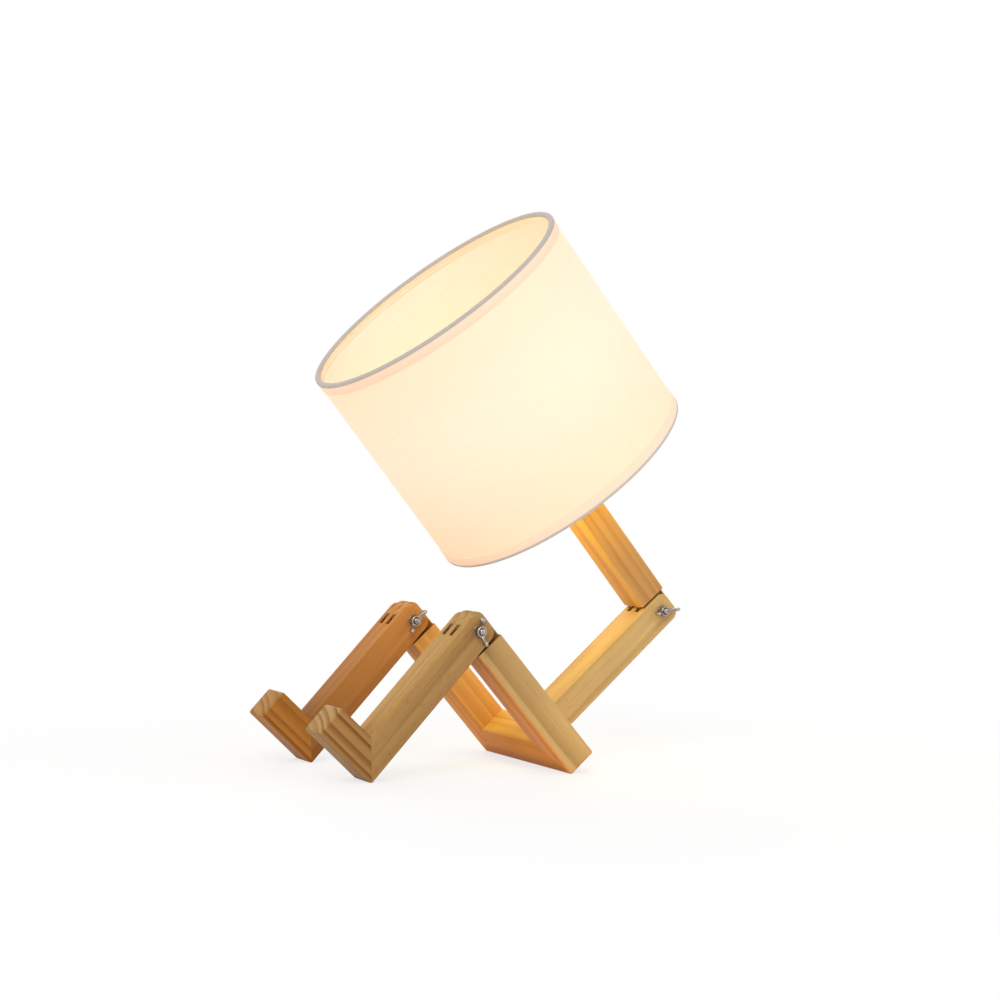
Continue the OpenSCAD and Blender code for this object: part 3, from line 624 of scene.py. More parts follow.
def makeLeg(side, name, body, shinNode, footNode, shinWood, footWood):
    sole, toe = figure["shin"], halfThick - figure["foot"]
    instep = Vector((sole - figure["barThick"], 0, -halfThick))
    heelHole = Matrix.Translation((sole - halfThick, 0, 0)) @ turnY(45) @ turnY(90)
    place = legFrame(side)
    shin = makeBar("shin_bar_" + name, (-figure["shinEnd"], -halfWidth, -halfThick), (sole, halfWidth, halfThick),
                   roundEnd=-figure["shinEnd"], corners=[{0: sole, 2: halfThick}])
    sawMitre(shin, instep, (1, 0, -1))
    bpy.ops.object.mode_set(mode="OBJECT")
    cutFingers(shin, 3)
    cutWith(shin, rodCutter(dowel["radius"], dowel["length"], heelHole))
    softenCuts(shin)
    finishPiece(shin, place, body, makeWood(shin.name + "_wood", place, shinWood, {"Way": 1}), "beech", shinNode)
    foot = makeBar("foot_bar_" + name, (sole - figure["barThick"], -halfWidth, toe), (sole, halfWidth, halfThick),
                   corners=[{0: sole, 2: halfThick}, {0: sole, 2: toe}, {0: sole - figure["barThick"], 2: toe}])
    sawMitre(foot, instep, (-1, 0, 1))
    bpy.ops.object.mode_set(mode="OBJECT")
    cutWith(foot, rodCutter(dowel["radius"], dowel["length"], heelHole))
    softenCuts(foot)
    grain = place @ Matrix.Translation((sole - halfThick, 0, 0)) @ turnY(90)
    finishPiece(foot, place, body, makeWood(foot.name + "_wood", grain, footWood), "beech", footNode)


makeThigh(-1, "thigh_bar_left", "base", "thigh_left", woods["thighLeft"])
makeThigh(1, "thigh_bar_right", "base", "thigh_right", woods["thighRight"])
makeCrossbar(woods["crossbar"])
makeTorso(woods["torso"])
makeLeg(-1, "left", "left_leg", "shin_left", "foot_left", woods["shinLeft"], woods["footLeft"])
makeLeg(1, "right", "right_leg", "shin_right", "foot_right", woods["shinRight"], woods["footRight"])
makeArm(woods["arm"])
print("wooden bars built")


# ---- finishes other than wood ----
def makeWearGroup():
    group, given, result = makeGroup(
        "handling",
        [
            ("Point", "NodeSocketVector", None), ("Color", "NodeSocketColor", (0.5, 0.5, 0.5, 1)),
            ("Tarnish", "NodeSocketColor", (0.3, 0.3, 0.3, 1)), ("Amount", "NodeSocketFloat", 0.3),
            ("Grit", "NodeSocketFloat", 900.0), ("Shine", "NodeSocketFloat", 0.25), ("Spread", "NodeSocketFloat", 0.15),
        ],
        [("Color", "NodeSocketColor"), ("Roughness", "NodeSocketFloat"), ("Height", "NodeSocketFloat")],
    )
    point = given.outputs["Point"]
    patch = noise(group, point, 160.0, 3.0, 0.55)
    grain = noise(group, point, given.outputs["Grit"], 2.0, 0.5)
    mask = calc(group, "MULTIPLY", ramped(group, patch, 0.42, 0.7), given.outputs["Amount"])
    group.links.new(mixColor(group, mask, given.outputs["Color"], given.outputs["Tarnish"]), result.inputs["Color"])
    spread = calc(group, "MULTIPLY", calc(group, "ADD", patch, grain), given.outputs["Spread"])
    group.links.new(calc(group, "ADD", given.outputs["Shine"], spread), result.inputs["Roughness"])
    group.links.new(calc(group, "MULTIPLY_ADD", grain, 0.5, patch), result.inputs["Height"])
    return group


wearGroup = makeWearGroup()


def makeFinish(name, settings, metallic=0.0, bump=0.15, specular=0.5):
    material, tree, shader = startMaterial(name)
    wear = tree.nodes.new("ShaderNodeGroup")
    wear.node_tree = wearGroup
    tree.links.new(addNode(tree, "ShaderNodeTexCoord").outputs["Object"], wear.inputs["Point"])
    for key, value in settings.items():
        wear.inputs[key].default_value = value
    tree.links.new(wear.outputs["Color"], shader.inputs["Base Color"])
    tree.links.new(wear.outputs["Roughness"], shader.inputs["Roughness"])
    shader.inputs["Metallic"].default_value = metallic
    shader.inputs["Specular IOR Level"].default_value = specular
    addBump(tree, shader, wear.outputs["Height"], bump, 0.0001)
    return material


finishes = {
    # the brown patches on the nickel are partly tarnish and partly a painted reflection of the wood around it
    "nickel": makeFinish("nickel_plate", {"Color": color(172, 162, 153), "Tarnish": color(112, 94, 82), "Amount": 0.6,
                                          "Grit": 1500.0, "Shine": 0.14, "Spread": 0.14}, 1.0, 0.2),
    "zinc": makeFinish("zinc_steel", {"Color": color(186, 186, 178), "Tarnish": color(140, 138, 126), "Amount": 0.5,
                                      "Grit": 2200.0, "Shine": 0.24, "Spread": 0.15}, 1.0, 0.2),
    "brass": makeFinish("brass", {"Color": color(214, 178, 104), "Tarnish": color(160, 120, 66), "Amount": 0.4,
                                  "Grit": 1600.0, "Shine": 0.18, "Spread": 0.15}, 1.0, 0.15),
    "black": makeFinish("black_plastic", {"Color": color(38, 38, 40), "Tarnish": color(54, 52, 50), "Amount": 0.4,
                                          "Grit": 3000.0, "Shine": 0.3, "Spread": 0.12}, 0.0, 0.25),
    "insulator": makeFinish("insulator_white", {"Color": color(226, 222, 212), "Tarnish": color(206, 198, 184), "Amount": 0.5,
                                                "Grit": 2400.0, "Shine": 0.35, "Spread": 0.15}, 0.0, 0.25),
    "bulb": makeFinish("bulb_white", {"Color": color(232, 231, 227), "Tarnish": color(216, 213, 206), "Amount": 0.4,
                                      "Grit": 2600.0, "Shine": 0.25, "Spread": 0.12}, 0.0, 0.15),
    "board": makeFinish("light_board", {"Color": color(230, 228, 220), "Tarnish": color(206, 204, 190), "Amount": 0.4,
                                        "Grit": 1800.0, "Shine": 0.35, "Spread": 0.12}, 0.0, 0.15),
    "wire": makeFinish("wire_white", {"Color": color(222, 219, 210), "Tarnish": color(198, 192, 180), "Amount": 0.5,
                                      "Grit": 2000.0, "Shine": 0.28, "Spread": 0.15}, 0.0, 0.3),
}


def dowelWood(name, place):
    return makeWood(name, place, barWood(Pith=(0, 0.01, 0.012), Spacing=0.0012, Contrast=0.4, Streaks=0.3, Pores=0.2,
                                         Early=color(206, 164, 108), Late=color(160, 112, 64)))


def dressNode(name, material):
    piece = nodes[name]
    piece.data.materials.clear()
    piece.data.materials.append(material)
    deselectAll()
    piece.select_set(True)
    bpy.context.view_layer.objects.active = piece
    bpy.ops.object.shade_smooth_by_angle(angle=math.radians(30))


dressNode("hip_dowels", dowelWood("hip_dowel_wood", hipFrame @ Matrix.Rotation(math.radians(45), 4, "Z")))
dressNode("torso_dowels", dowelWood("torso_dowel_wood", torsoFrame))
dressNode("heel_dowel_left", dowelWood("heel_dowel_wood_left", legFrame(-1) @ turnY(45)))
dressNode("heel_dowel_right", dowelWood("heel_dowel_wood_right", legFrame(1) @ turnY(45)))
dressNode("threaded_tube", finishes["zinc"])
dressNode("holder_insulator", finishes["insulator"])
dressNode("terminal_screws", finishes["brass"])
dressNode("centre_contact", finishes["brass"])
dressNode("screw_sleeve", finishes["brass"])
dressNode("bulb_contact", finishes["nickel"])
dressNode("light_board", finishes["board"])

# ---- bolts, washers and wing nuts ----
bolt = {
    "shank": 2 * mm, "head": 5 * mm, "headHeight": 2.2 * mm, "neck": 3 * mm,
    "length": 27 * mm + 0.85 * mm + 4.2 * mm + 1.2 * mm, "pitch": 0.7 * mm, "threadDepth": 0.28 * mm, "threadLength": 9 * mm,
}
nut = {
    "foot": 4 * mm, "top": 3.7 * mm, "height": 4.2 * mm, "hole": 2.06 * mm, "mouth": 2.9 * mm,
    # outwards, middle height, height and thickness of each station of a wing
    "wing": [(1.6, 2.2, 3.2, 2.8), (3.6, 2.6, 3.6, 3.0), (5.2, 4.0, 4.8, 2.9), (6.9, 5.9, 6.9, 3.0), (8.8, 6.4, 6.9, 3.2),
             (10.0, 6.6, 4.8, 2.6)],
    "voxel": 0.2 * mm,
}


def makeBolt(name, place, body, node):
    # along +Z from under the head to the free end; the head is below zero
    rings = [(0.25 * mm, -bolt["headHeight"])]
    dome = (bolt["headHeight"] ** 2 + bolt["head"] ** 2) / (2 * bolt["headHeight"])
    for step in range(1, 11):
        radius = bolt["head"] * step / 10.6
        rings.append((radius, dome - bolt["headHeight"] - math.sqrt(dome ** 2 - radius ** 2)))
    rings += [(4.92 * mm, -0.18 * mm), (4.95 * mm, -0.08 * mm), (4.8 * mm, 0), (bolt["shank"], 0)]
    threadFrom = bolt["length"] - bolt["threadLength"]
    rings.append((bolt["shank"], threadFrom))
    turns = int((bolt["threadLength"] - 0.9 * mm) / bolt["pitch"])
    for turn in range(turns):
        start = threadFrom + turn * bolt["pitch"]
        rings += [(bolt["shank"] - bolt["threadDepth"], start + 0.3 * mm), (bolt["shank"], start + 0.6 * mm),
                  (bolt["shank"], start + bolt["pitch"])]
    rings += [(bolt["shank"] * math.cos(math.radians(lift)), bolt["length"] + 0.6 * mm * (math.sin(math.radians(lift)) - 1))
              for lift in range(10, 86, 15)]
    piece = turnPiece(name, rings, vertices=48)
    half = bolt["shank"] + 0.02 * mm
    cutWith(piece, boxCutter((-half, -half, -0.5 * mm), (half, half, bolt["neck"])), "UNION")
    finishPiece(piece, place @ Matrix.Translation((0, halfWidth, 0)) @ Matrix.Rotation(math.pi / 2, 4, "X"),
                body, finishes["nickel"], "nickel_plate", node)


def makeWasher(name, place, body, node):
    inner, outer, thick, soft = 2.15 * mm, 4.5 * mm, 0.8 * mm, 0.12 * mm
    rings = [(inner + soft, 0), (outer - soft, 0), (outer, soft), (outer, thick - soft), (outer - soft, thick),
             (inner + soft, thick), (inner, thick - soft), (inner, soft)]
    piece = turnPiece(name, rings, vertices=64, closed="loop")
    finishPiece(piece, place @ Matrix.Translation((0, -halfWidth, 0)) @ Matrix.Rotation(math.pi / 2, 4, "X"),
                body, finishes["nickel"], "nickel_plate", node)


def makeWing(settings):
    stations = [[value * mm for value in station] for station in settings["wing"]]
    x, middle, height, thick = stations[0]
    deselectAll()
    bpy.ops.mesh.primitive_cube_add(size=1, location=(x / 2, 0, middle), scale=(x, thick, height))
    piece = startPiece("wing")
    for nextX, nextMiddle, nextHeight, nextThick in stations[1:]:
        pickFaces(piece, lambda centre, normal: abs(centre.x - x) < 1e-6 and normal.x > 0.9)
        bpy.ops.mesh.extrude_region_move(TRANSFORM_OT_translate={"value": (nextX - x, 0, nextMiddle - middle)})
        bpy.ops.transform.resize(value=(1, nextThick / thick, nextHeight / height), center_override=(nextX, 0, nextMiddle))
        x, middle, height, thick = nextX, nextMiddle, nextHeight, nextThick
    bpy.ops.object.mode_set(mode="OBJECT")
    applyModifier(piece, "SUBSURF", levels=3, render_levels=3)
    return piece


def makeNutShape():
    # cast in one piece: hub and wings are fused and smoothed, then drilled and faced
    foot, top, height = nut["foot"], nut["top"], nut["height"]
    hub = turnPiece("hub", [(foot - 0.2 * mm, 0), (foot, 0.25 * mm), (top, height - 0.4 * mm), (top - 0.35 * mm, height)], vertices=64)
    wing = makeWing(nut)
    other = copyPiece(wing, "wing_other")
    placePiece(other, Matrix.Rotation(math.pi, 4, "Z"))
    piece = joinPieces("nut_shape", hub, wing, other)
    applyModifier(piece, "REMESH", mode="VOXEL", voxel_size=nut["voxel"])
    applyModifier(piece, "SMOOTH", factor=0.5, iterations=5)
    cutWith(piece, boxCutter((-12 * mm, -12 * mm, -4 * mm), (12 * mm, 12 * mm, 0.04 * mm)))
    cutWith(piece, rodCutter(nut["hole"], 30 * mm, vertices=48))
    deselectAll()
    deep = nut["mouth"] - nut["hole"] + 0.2 * mm
    bpy.ops.mesh.primitive_cone_add(vertices=48, radius1=nut["hole"] - 0.1 * mm, radius2=nut["mouth"] + 0.1 * mm, depth=deep,
                                    location=(0, 0, height + 0.1 * mm - deep / 2))
    cutWith(piece, bpy.context.object)
    return piece


nutShape = makeNutShape()


def makeNut(name, place, turn, body, node):
    piece = copyPiece(nutShape, name)
    seat = place @ Matrix.Translation((0, -halfWidth - 0.85 * mm, 0)) @ Matrix.Rotation(math.pi / 2, 4, "X")
    finishPiece(piece, seat @ Matrix.Rotation(math.radians(turn), 4, "Z"), body, finishes["nickel"], "nickel_plate", node, angle=60)


makeBolt("bolt_neck", torsoFrame @ Matrix.Translation((figure["torso"], 0, 0)), "base", "neck_bolt")
makeBolt("bolt_knee_left", legFrame(-1), "left_leg", "knee_bolt_left")
makeBolt("bolt_knee_right", legFrame(1), "right_leg", "knee_bolt_right")
makeWasher("washer_neck", neckFrame, "base", "neck_washer")
makeWasher("washer_knee_left", kneeFrame(-1), "left_leg", "knee_washer_left")
makeWasher("washer_knee_right", kneeFrame(1), "right_leg", "knee_washer_right")
makeNut("nut_neck", neckFrame, 11, "neck_nut", "neck_wing_nut")
makeNut("nut_knee_left", kneeFrame(-1), 100, "left_knee_nut", "knee_wing_nut_left")
makeNut("nut_knee_right", kneeFrame(1), 55, "right_knee_nut", "knee_wing_nut_right")
bpy.data.objects.remove(nutShape)
print("bolts, washers and wing nuts built")

# ---- cord outlet, lampholder and bulb ----
holder = {
    "radius": 19.5 * mm, "wall": 2 * mm, "cap": 24 * mm, "shell": 33 * mm, "bore": 5.05 * mm,
    "ringHeight": 7.5 * mm, "ringRadius": 27.5 * mm, "lowerRing": 25.5 * mm, "upperRing": 34.5 * mm,
    "flutes": 36, "knurls": 48,
}


def makeOutlet():
    inner = 3.25 * mm
    rings = [(inner, 8 * mm), (inner, -1.4 * mm), (inner + 0.4 * mm, -1.8 * mm), (6.4 * mm, -1.8 * mm), (6.85 * mm, -1.6 * mm),
             (7 * mm, -1.2 * mm), (7 * mm, -0.2 * mm), (6.8 * mm, 0), (5 * mm, 0), (5 * mm, 7.6 * mm), (4.6 * mm, 8 * mm)]
    piece = turnPiece("cord_outlet_bush", rings, vertices=64, closed="loop")
    finishPiece(piece, armFrame @ Matrix.Translation((66 * mm, 0, -halfThick)), "head", finishes["black"], "black_plastic", "cord_outlet")


def makeHolderCap():
    radius, wall, height, bore = holder["radius"], holder["wall"], holder["cap"], holder["bore"]
    rings = [(bore, 0), (radius - 3.2 * mm, 0), (radius - 1.2 * mm, 0.7 * mm), (radius - 0.25 * mm, 2.2 * mm), (radius, 4 * mm),
             (radius, 15 * mm), (radius, 15.2 * mm), (radius - 0.5 * mm, 15.7 * mm), (radius - 0.5 * mm, 16.6 * mm),
             (radius, 17.1 * mm), (radius, height - 0.3 * mm), (radius - 0.3 * mm, height), (radius - wall, height),
             (radius - wall, 2.5 * mm), (8 * mm, 2.5 * mm), (8 * mm, 9 * mm), (bore, 9 * mm)]
    piece = turnPiece("holder_cap_moulded", rings, vertices=holder["flutes"] * 4, closed="loop")
    # shallow flutes for the fingers: every fourth strip of faces is sunk
    bpy.ops.object.mode_set(mode="EDIT")
    step = math.tau / holder["flutes"]

    def inFlute(centre, normal):
        turn = (math.atan2(centre.y, centre.x) % step) / step
        return 0.25 < turn < 0.75 and 4.2 * mm < centre.z < 14.8 * mm and math.hypot(centre.x, centre.y) > radius - 0.2 * mm

    pickFaces(piece, inFlute)
    bpy.ops.mesh.inset(thickness=0.2 * mm, depth=-0.35 * mm)
    cleanMesh()
    bpy.ops.object.mode_set(mode="OBJECT")
    finishPiece(piece, lampFrame, "head", finishes["black"], "black_plastic", "holder_cap")


def makeHolderShell():
    radius, wall = holder["radius"], holder["wall"]
    top = holder["cap"] + holder["shell"]
    rings = [(radius - wall, holder["cap"]), (radius - 0.4 * mm, holder["cap"]), (radius - 0.4 * mm, 25 * mm)]
    pitch = 2.5 * mm
    height = 25 * mm
    while height < top - 5 * mm:
        rings += [(radius - 0.9 * mm, height + 0.5 * mm), (radius - 0.9 * mm, height + 0.9 * mm),
                  (radius - 0.05 * mm, height + 1.5 * mm), (radius - 0.05 * mm, height + 1.9 * mm)]
        height += pitch
    rings += [(radius - 0.6 * mm, top - 3.6 * mm), (radius - 0.6 * mm, top - 0.8 * mm), (radius - 1.4 * mm, top),
              (14.6 * mm, top), (14.05 * mm, top - 0.5 * mm), (14.05 * mm, top - 3 * mm), (radius - wall, top - 3 * mm)]
    piece = turnPiece("holder_shell_threaded", rings, vertices=96, closed="loop")
    finishPiece(piece, lampFrame, "head", finishes["black"], "black_plastic", "holder_shell")


def makeShadeRing(name, height, node):
    outer, inner, tall = holder["ringRadius"], holder["radius"] + 0.05 * mm, holder["ringHeight"]
    rings = [(inner, 0), (outer - 0.8 * mm, 0), (outer, 0.8 * mm), (outer, tall - 0.8 * mm), (outer - 0.8 * mm, tall),
             (outer - 2.5 * mm, tall), (outer - 3.2 * mm, tall - 0.5 * mm), (inner + 1.6 * mm, tall - 0.5 * mm), (inner + 1 * mm, tall),
             (inner, tall)]
    piece = turnPiece(name, rings, vertices=holder["knurls"] * 4, closed="loop")
    bpy.ops.object.mode_set(mode="EDIT")
    step = math.tau / holder["knurls"]

    def inKnurl(centre, normal):
        turn = (math.atan2(centre.y, centre.x) % step) / step
        return turn < 0.5 and 1 * mm < centre.z < tall - 1 * mm and math.hypot(centre.x, centre.y) > outer - 0.2 * mm

    pickFaces(piece, inKnurl)
    bpy.ops.mesh.inset(thickness=0.3 * mm, depth=-0.5 * mm)
    cleanMesh()
    bpy.ops.object.mode_set(mode="OBJECT")
    finishPiece(piece, lampFrame @ Matrix.Translation((0, 0, height)), "head", finishes["black"], "black_plastic", node)


bulb = {
    "foot": 29 * mm, "capFrom": 31.5 * mm, "capTo": 55.5 * mm, "capRadius": 13 * mm, "capWall": 0.6 * mm,
    "seam": 95 * mm, "seamRadius": 27.495 * mm, "globe": 30 * mm, "centre": 107 * mm, "wall": 1.2 * mm, "fins": 24,
}


def makeBulbCap():
    radius, wall = bulb["capRadius"], bulb["capWall"]
    start, end = bulb["capFrom"], bulb["capTo"]
    rings = [(0.4 * mm, start), (radius - 3.5 * mm, start), (radius - 1.6 * mm, start + 0.8 * mm)]
    # rolled thread
    steps = 40
    for step in range(steps + 1):
        height = start + 2 * mm + step * 0.42 * mm
        rings.append((radius - 0.55 * mm - 0.5 * mm * math.cos(height / (3.62 * mm) * math.tau), height))
    rings += [(radius - 0.5 * mm, end - 4 * mm), (radius - 0.3 * mm, end - 3.4 * mm), (radius, end - 3 * mm), (radius, end)]
    rings += [(radius - wall, end), (radius - wall - 1.2 * mm, end - 4.5 * mm), (radius - wall - 1.2 * mm, start + 2 * mm), (0.4 * mm, start + 1.2 * mm)]
    piece = turnPiece("bulb_screw_cap", rings, vertices=72)
    finishPiece(piece, lampFrame, "head", finishes["nickel"], "nickel_plate", "bulb_cap")


def makeBulbHousing():
    start, seam, wide = bulb["capTo"], bulb["seam"], bulb["seamRadius"]
    wall = 1.4 * mm
    rings = [(13 * mm, start), (14 * mm, start + 0.6 * mm), (14 * mm, start + 4.6 * mm)]
    for step in range(1, 11):
        part = step / 10
        rings.append((14 * mm + (wide - 14 * mm) * part, start + 5 * mm + (seam - start - 5 * mm) * part))
    rings += [(wide - wall, seam), (wide - wall, seam - 1.6 * mm)]
    rings += [(13 * mm, start + 6 * mm), (12.4 * mm, start + 3 * mm), (0.5 * mm, start + 3 * mm)]
    piece = turnPiece("bulb_housing_finned", [(0.5 * mm, start)] + rings, vertices=bulb["fins"] * 6)
    bpy.ops.object.mode_set(mode="EDIT")
    step = math.tau / bulb["fins"]

    def betweenFins(centre, normal):
        turn = (math.atan2(centre.y, centre.x) % step) / step
        outside = normal.x * centre.x + normal.y * centre.y > 0 and math.hypot(centre.x, centre.y) > 14.2 * mm
        return 0.16 < turn < 0.84 and start + 8 * mm < centre.z < seam - 4 * mm and outside

    pickFaces(piece, betweenFins)
    bpy.ops.mesh.inset(thickness=0.35 * mm, depth=-0.45 * mm)
    cleanMesh()
    bpy.ops.object.mode_set(mode="OBJECT")
    finishPiece(piece, lampFrame, "head", finishes["bulb"], "bulb_white", "bulb_housing")


def makeGlobe(material):
    radius, centre, wall, seam = bulb["globe"], bulb["centre"], bulb["wall"], bulb["seam"]
    low = math.asin((seam - centre) / radius)
    rings = []
    for step in range(29):
        angle = low + (math.radians(89) - low) * step / 28
        rings.append((radius * math.cos(angle), centre + radius * math.sin(angle)))
    inside = radius - wall
    low = math.asin((seam - centre) / inside)
    back = []
    for step in range(29):
        angle = low + (math.radians(89) - low) * step / 28
        back.append((inside * math.cos(angle), centre + inside * math.sin(angle)))
    outer = turnPiece("globe_outer", rings, vertices=96, closed="none")
    inner = turnPiece("globe_inner", back, vertices=96, closed="none")
    for shell, top in ((outer, rings[-1]), (inner, back[-1])):
        activate(shell)
        bpy.ops.object.mode_set(mode="EDIT")
        pickEdges(shell, lambda a, b, edge: edge.is_boundary and a.z > centre and b.z > centre)
        bpy.ops.mesh.edge_face_add()
        bpy.ops.object.mode_set(mode="OBJECT")
    piece = joinPieces("bulb_globe_opal", outer, inner)
    bpy.ops.object.mode_set(mode="EDIT")
    pickEdges(piece, lambda a, b, edge: edge.is_boundary)
    bpy.ops.mesh.bridge_edge_loops()
    cleanMesh()
    bpy.ops.object.mode_set(mode="OBJECT")
    finishPiece(piece, lampFrame, "head", material, "globe_opal", "bulb_globe")


def makeGlobeMaterial():
    material, tree, shader = startMaterial("globe_opal")
    local = localPoint(tree, lampFrame)
    height = addNode(tree, "ShaderNodeSeparateXYZ", {0: local}).outputs[2]
    # the glass is a little dimmer towards its seam
    rise = ramped(tree, height, 0.094, 0.12, 0.55, 1.0)
    mottle = ramped(tree, noise(tree, local, 220.0, 3.0), 0.3, 0.7, 0.96, 1.0)
    glow = mixColor(tree, calc(tree, "MULTIPLY", rise, mottle), (0.30, 0.17, 0.06, 1), (0.66, 0.50, 0.28, 1))
    tree.links.new(glow, shader.inputs["Emission Color"])
    tree.links.new(mixColor(tree, mottle, color(214, 208, 196), color(226, 220, 208)), shader.inputs["Base Color"])
    shader.inputs["Emission Strength"].default_value = 1.0
    shader.inputs["Roughness"].default_value = 0.3
    return material


makeOutlet()
makeHolderCap()
makeHolderShell()
makeShadeRing("shade_ring_low_knurled", holder["lowerRing"], "shade_ring_lower")
makeShadeRing("shade_ring_high_knurled", holder["upperRing"], "shade_ring_upper")
makeBulbCap()
makeBulbHousing()
makeGlobe(makeGlobeMaterial())
print("lampholder and bulb built")

# ---- shade ----
shade = {
    "radius": 100 * mm, "height": 162 * mm, "fabric": 0.4 * mm, "lining": 0.4 * mm,
    "wireRing": 98.15 * mm, "wire": 1 * mm, "spoke": 1 * mm, "plate": 32.5 * mm, "plateFrom": 19 * mm, "plateThick": 1.5 * mm,
    "hem": 8 * mm, "hemInside": 7 * mm, "hemInner": 96.7 * mm, "tape": 0.4 * mm,
    "seamTurn": 15, "seamLap": 9 * mm,
}


def makeWeaveGroup():
    group, given, result = makeGroup(
        "plainWeave",
        [("Point", "NodeSocketVector", None), ("Radius", "NodeSocketFloat", 0.1), ("Pitch", "NodeSocketFloat", 0.0006)],
        [("Thread", "NodeSocketFloat"), ("Slub", "NodeSocketFloat"), ("Height", "NodeSocketFloat")],
    )
    split = addNode(group, "ShaderNodeSeparateXYZ", {0: given.outputs["Point"]})
    around = calc(group, "MULTIPLY", calc(group, "ARCTAN2", split.outputs[1], split.outputs[0]), given.outputs["Radius"])
    up = split.outputs[2]
    sheetPoint = addNode(group, "ShaderNodeCombineXYZ", {0: around, 1: up}).outputs[0]
    count = calc(group, "DIVIDE", math.pi, given.outputs["Pitch"])
    warp = calc(group, "SINE", calc(group, "MULTIPLY", around, count))
    weft = calc(group, "SINE", calc(group, "MULTIPLY", up, count))
    over = calc(group, "MULTIPLY", warp, weft)
    slubAcross = noise(group, scaled(group, sheetPoint, (40, 900, 1)), 1.0, 2.0)
    slubAlong = noise(group, scaled(group, sheetPoint, (900, 40, 1)), 1.0, 2.0)
    slub = calc(group, "MULTIPLY", calc(group, "ADD", slubAcross, slubAlong), 0.5)
    group.links.new(calc(group, "MULTIPLY_ADD", over, 0.5, 0.5), result.inputs["Thread"])
    group.links.new(slub, result.inputs["Slub"])
    group.links.new(calc(group, "MULTIPLY_ADD", over, 0.25, slub), result.inputs["Height"])
    return group


weaveGroup = makeWeaveGroup()


def addWeave(tree, local, radius, pitch):
    weave = tree.nodes.new("ShaderNodeGroup")
    weave.node_tree = weaveGroup
    tree.links.new(local, weave.inputs["Point"])
    weave.inputs["Radius"].default_value = radius
    weave.inputs["Pitch"].default_value = pitch
    return weave


def makeFabricMaterial():
    material, tree, shader = startMaterial("fabric_ivory")
    local = localPoint(tree, shadeFrame)
    weave = addWeave(tree, local, shade["radius"], 0.0005)
    height = addNode(tree, "ShaderNodeSeparateXYZ", {0: local}).outputs[2]
    # lamplight through the cloth: brightest level with the globe
    fromGlobe = calc(tree, "ABSOLUTE", calc(tree, "SUBTRACT", height, 0.088))
    nearness = ramped(tree, fromGlobe, 0.0, 0.085, 1.0, 0.0)
    slub = ramped(tree, weave.outputs["Slub"], 0.3, 0.7, 0.94, 1.0)
    glow = mixColor(tree, nearness, (0.50, 0.325, 0.165, 1), (0.52, 0.38, 0.25, 1))
    glow = mixColor(tree, 1.0, glow, slub, "MULTIPLY")
    tree.links.new(glow, shader.inputs["Emission Color"])
    shader.inputs["Emission Strength"].default_value = 1.0
    thread = calc(tree, "MULTIPLY", weave.outputs["Thread"], weave.outputs["Slub"])
    tree.links.new(mixColor(tree, thread, color(198, 187, 170), color(208, 198, 181)), shader.inputs["Base Color"])
    tree.links.new(calc(tree, "MULTIPLY_ADD", weave.outputs["Slub"], 0.1, 0.8), shader.inputs["Roughness"])
    shader.inputs["Specular IOR Level"].default_value = 0.25
    shader.inputs["Sheen Weight"].default_value = 0.15
    shader.inputs["Sheen Roughness"].default_value = 0.5
    addBump(tree, shader, weave.outputs["Height"], 0.25, 0.0002)
    return material


def makeLiningMaterial():
    material, tree, shader = startMaterial("lining_white")
    local = localPoint(tree, shadeFrame)
    weave = addWeave(tree, local, shade["radius"], 0.0007)
    tone = mixColor(tree, ramped(tree, weave.outputs["Slub"], 0.3, 0.7), color(229, 221, 209), color(234, 227, 216))
    tree.links.new(tone, shader.inputs["Base Color"])
    tree.links.new(calc(tree, "MULTIPLY_ADD", weave.outputs["Slub"], 0.15, 0.5), shader.inputs["Roughness"])
    height = addNode(tree, "ShaderNodeSeparateXYZ", {0: local}).outputs[2]
    fromGlobe = calc(tree, "ABSOLUTE", calc(tree, "SUBTRACT", height, 0.088))
    glow = mixColor(tree, ramped(tree, fromGlobe, 0.0, 0.085, 1.0, 0.0), (0.10, 0.05, 0.01, 1), (0.12, 0.06, 0.015, 1))
    tree.links.new(glow, shader.inputs["Emission Color"])
    shader.inputs["Emission Strength"].default_value = 1.0
    addBump(tree, shader, weave.outputs["Height"], 0.05, 0.0001)
    return material


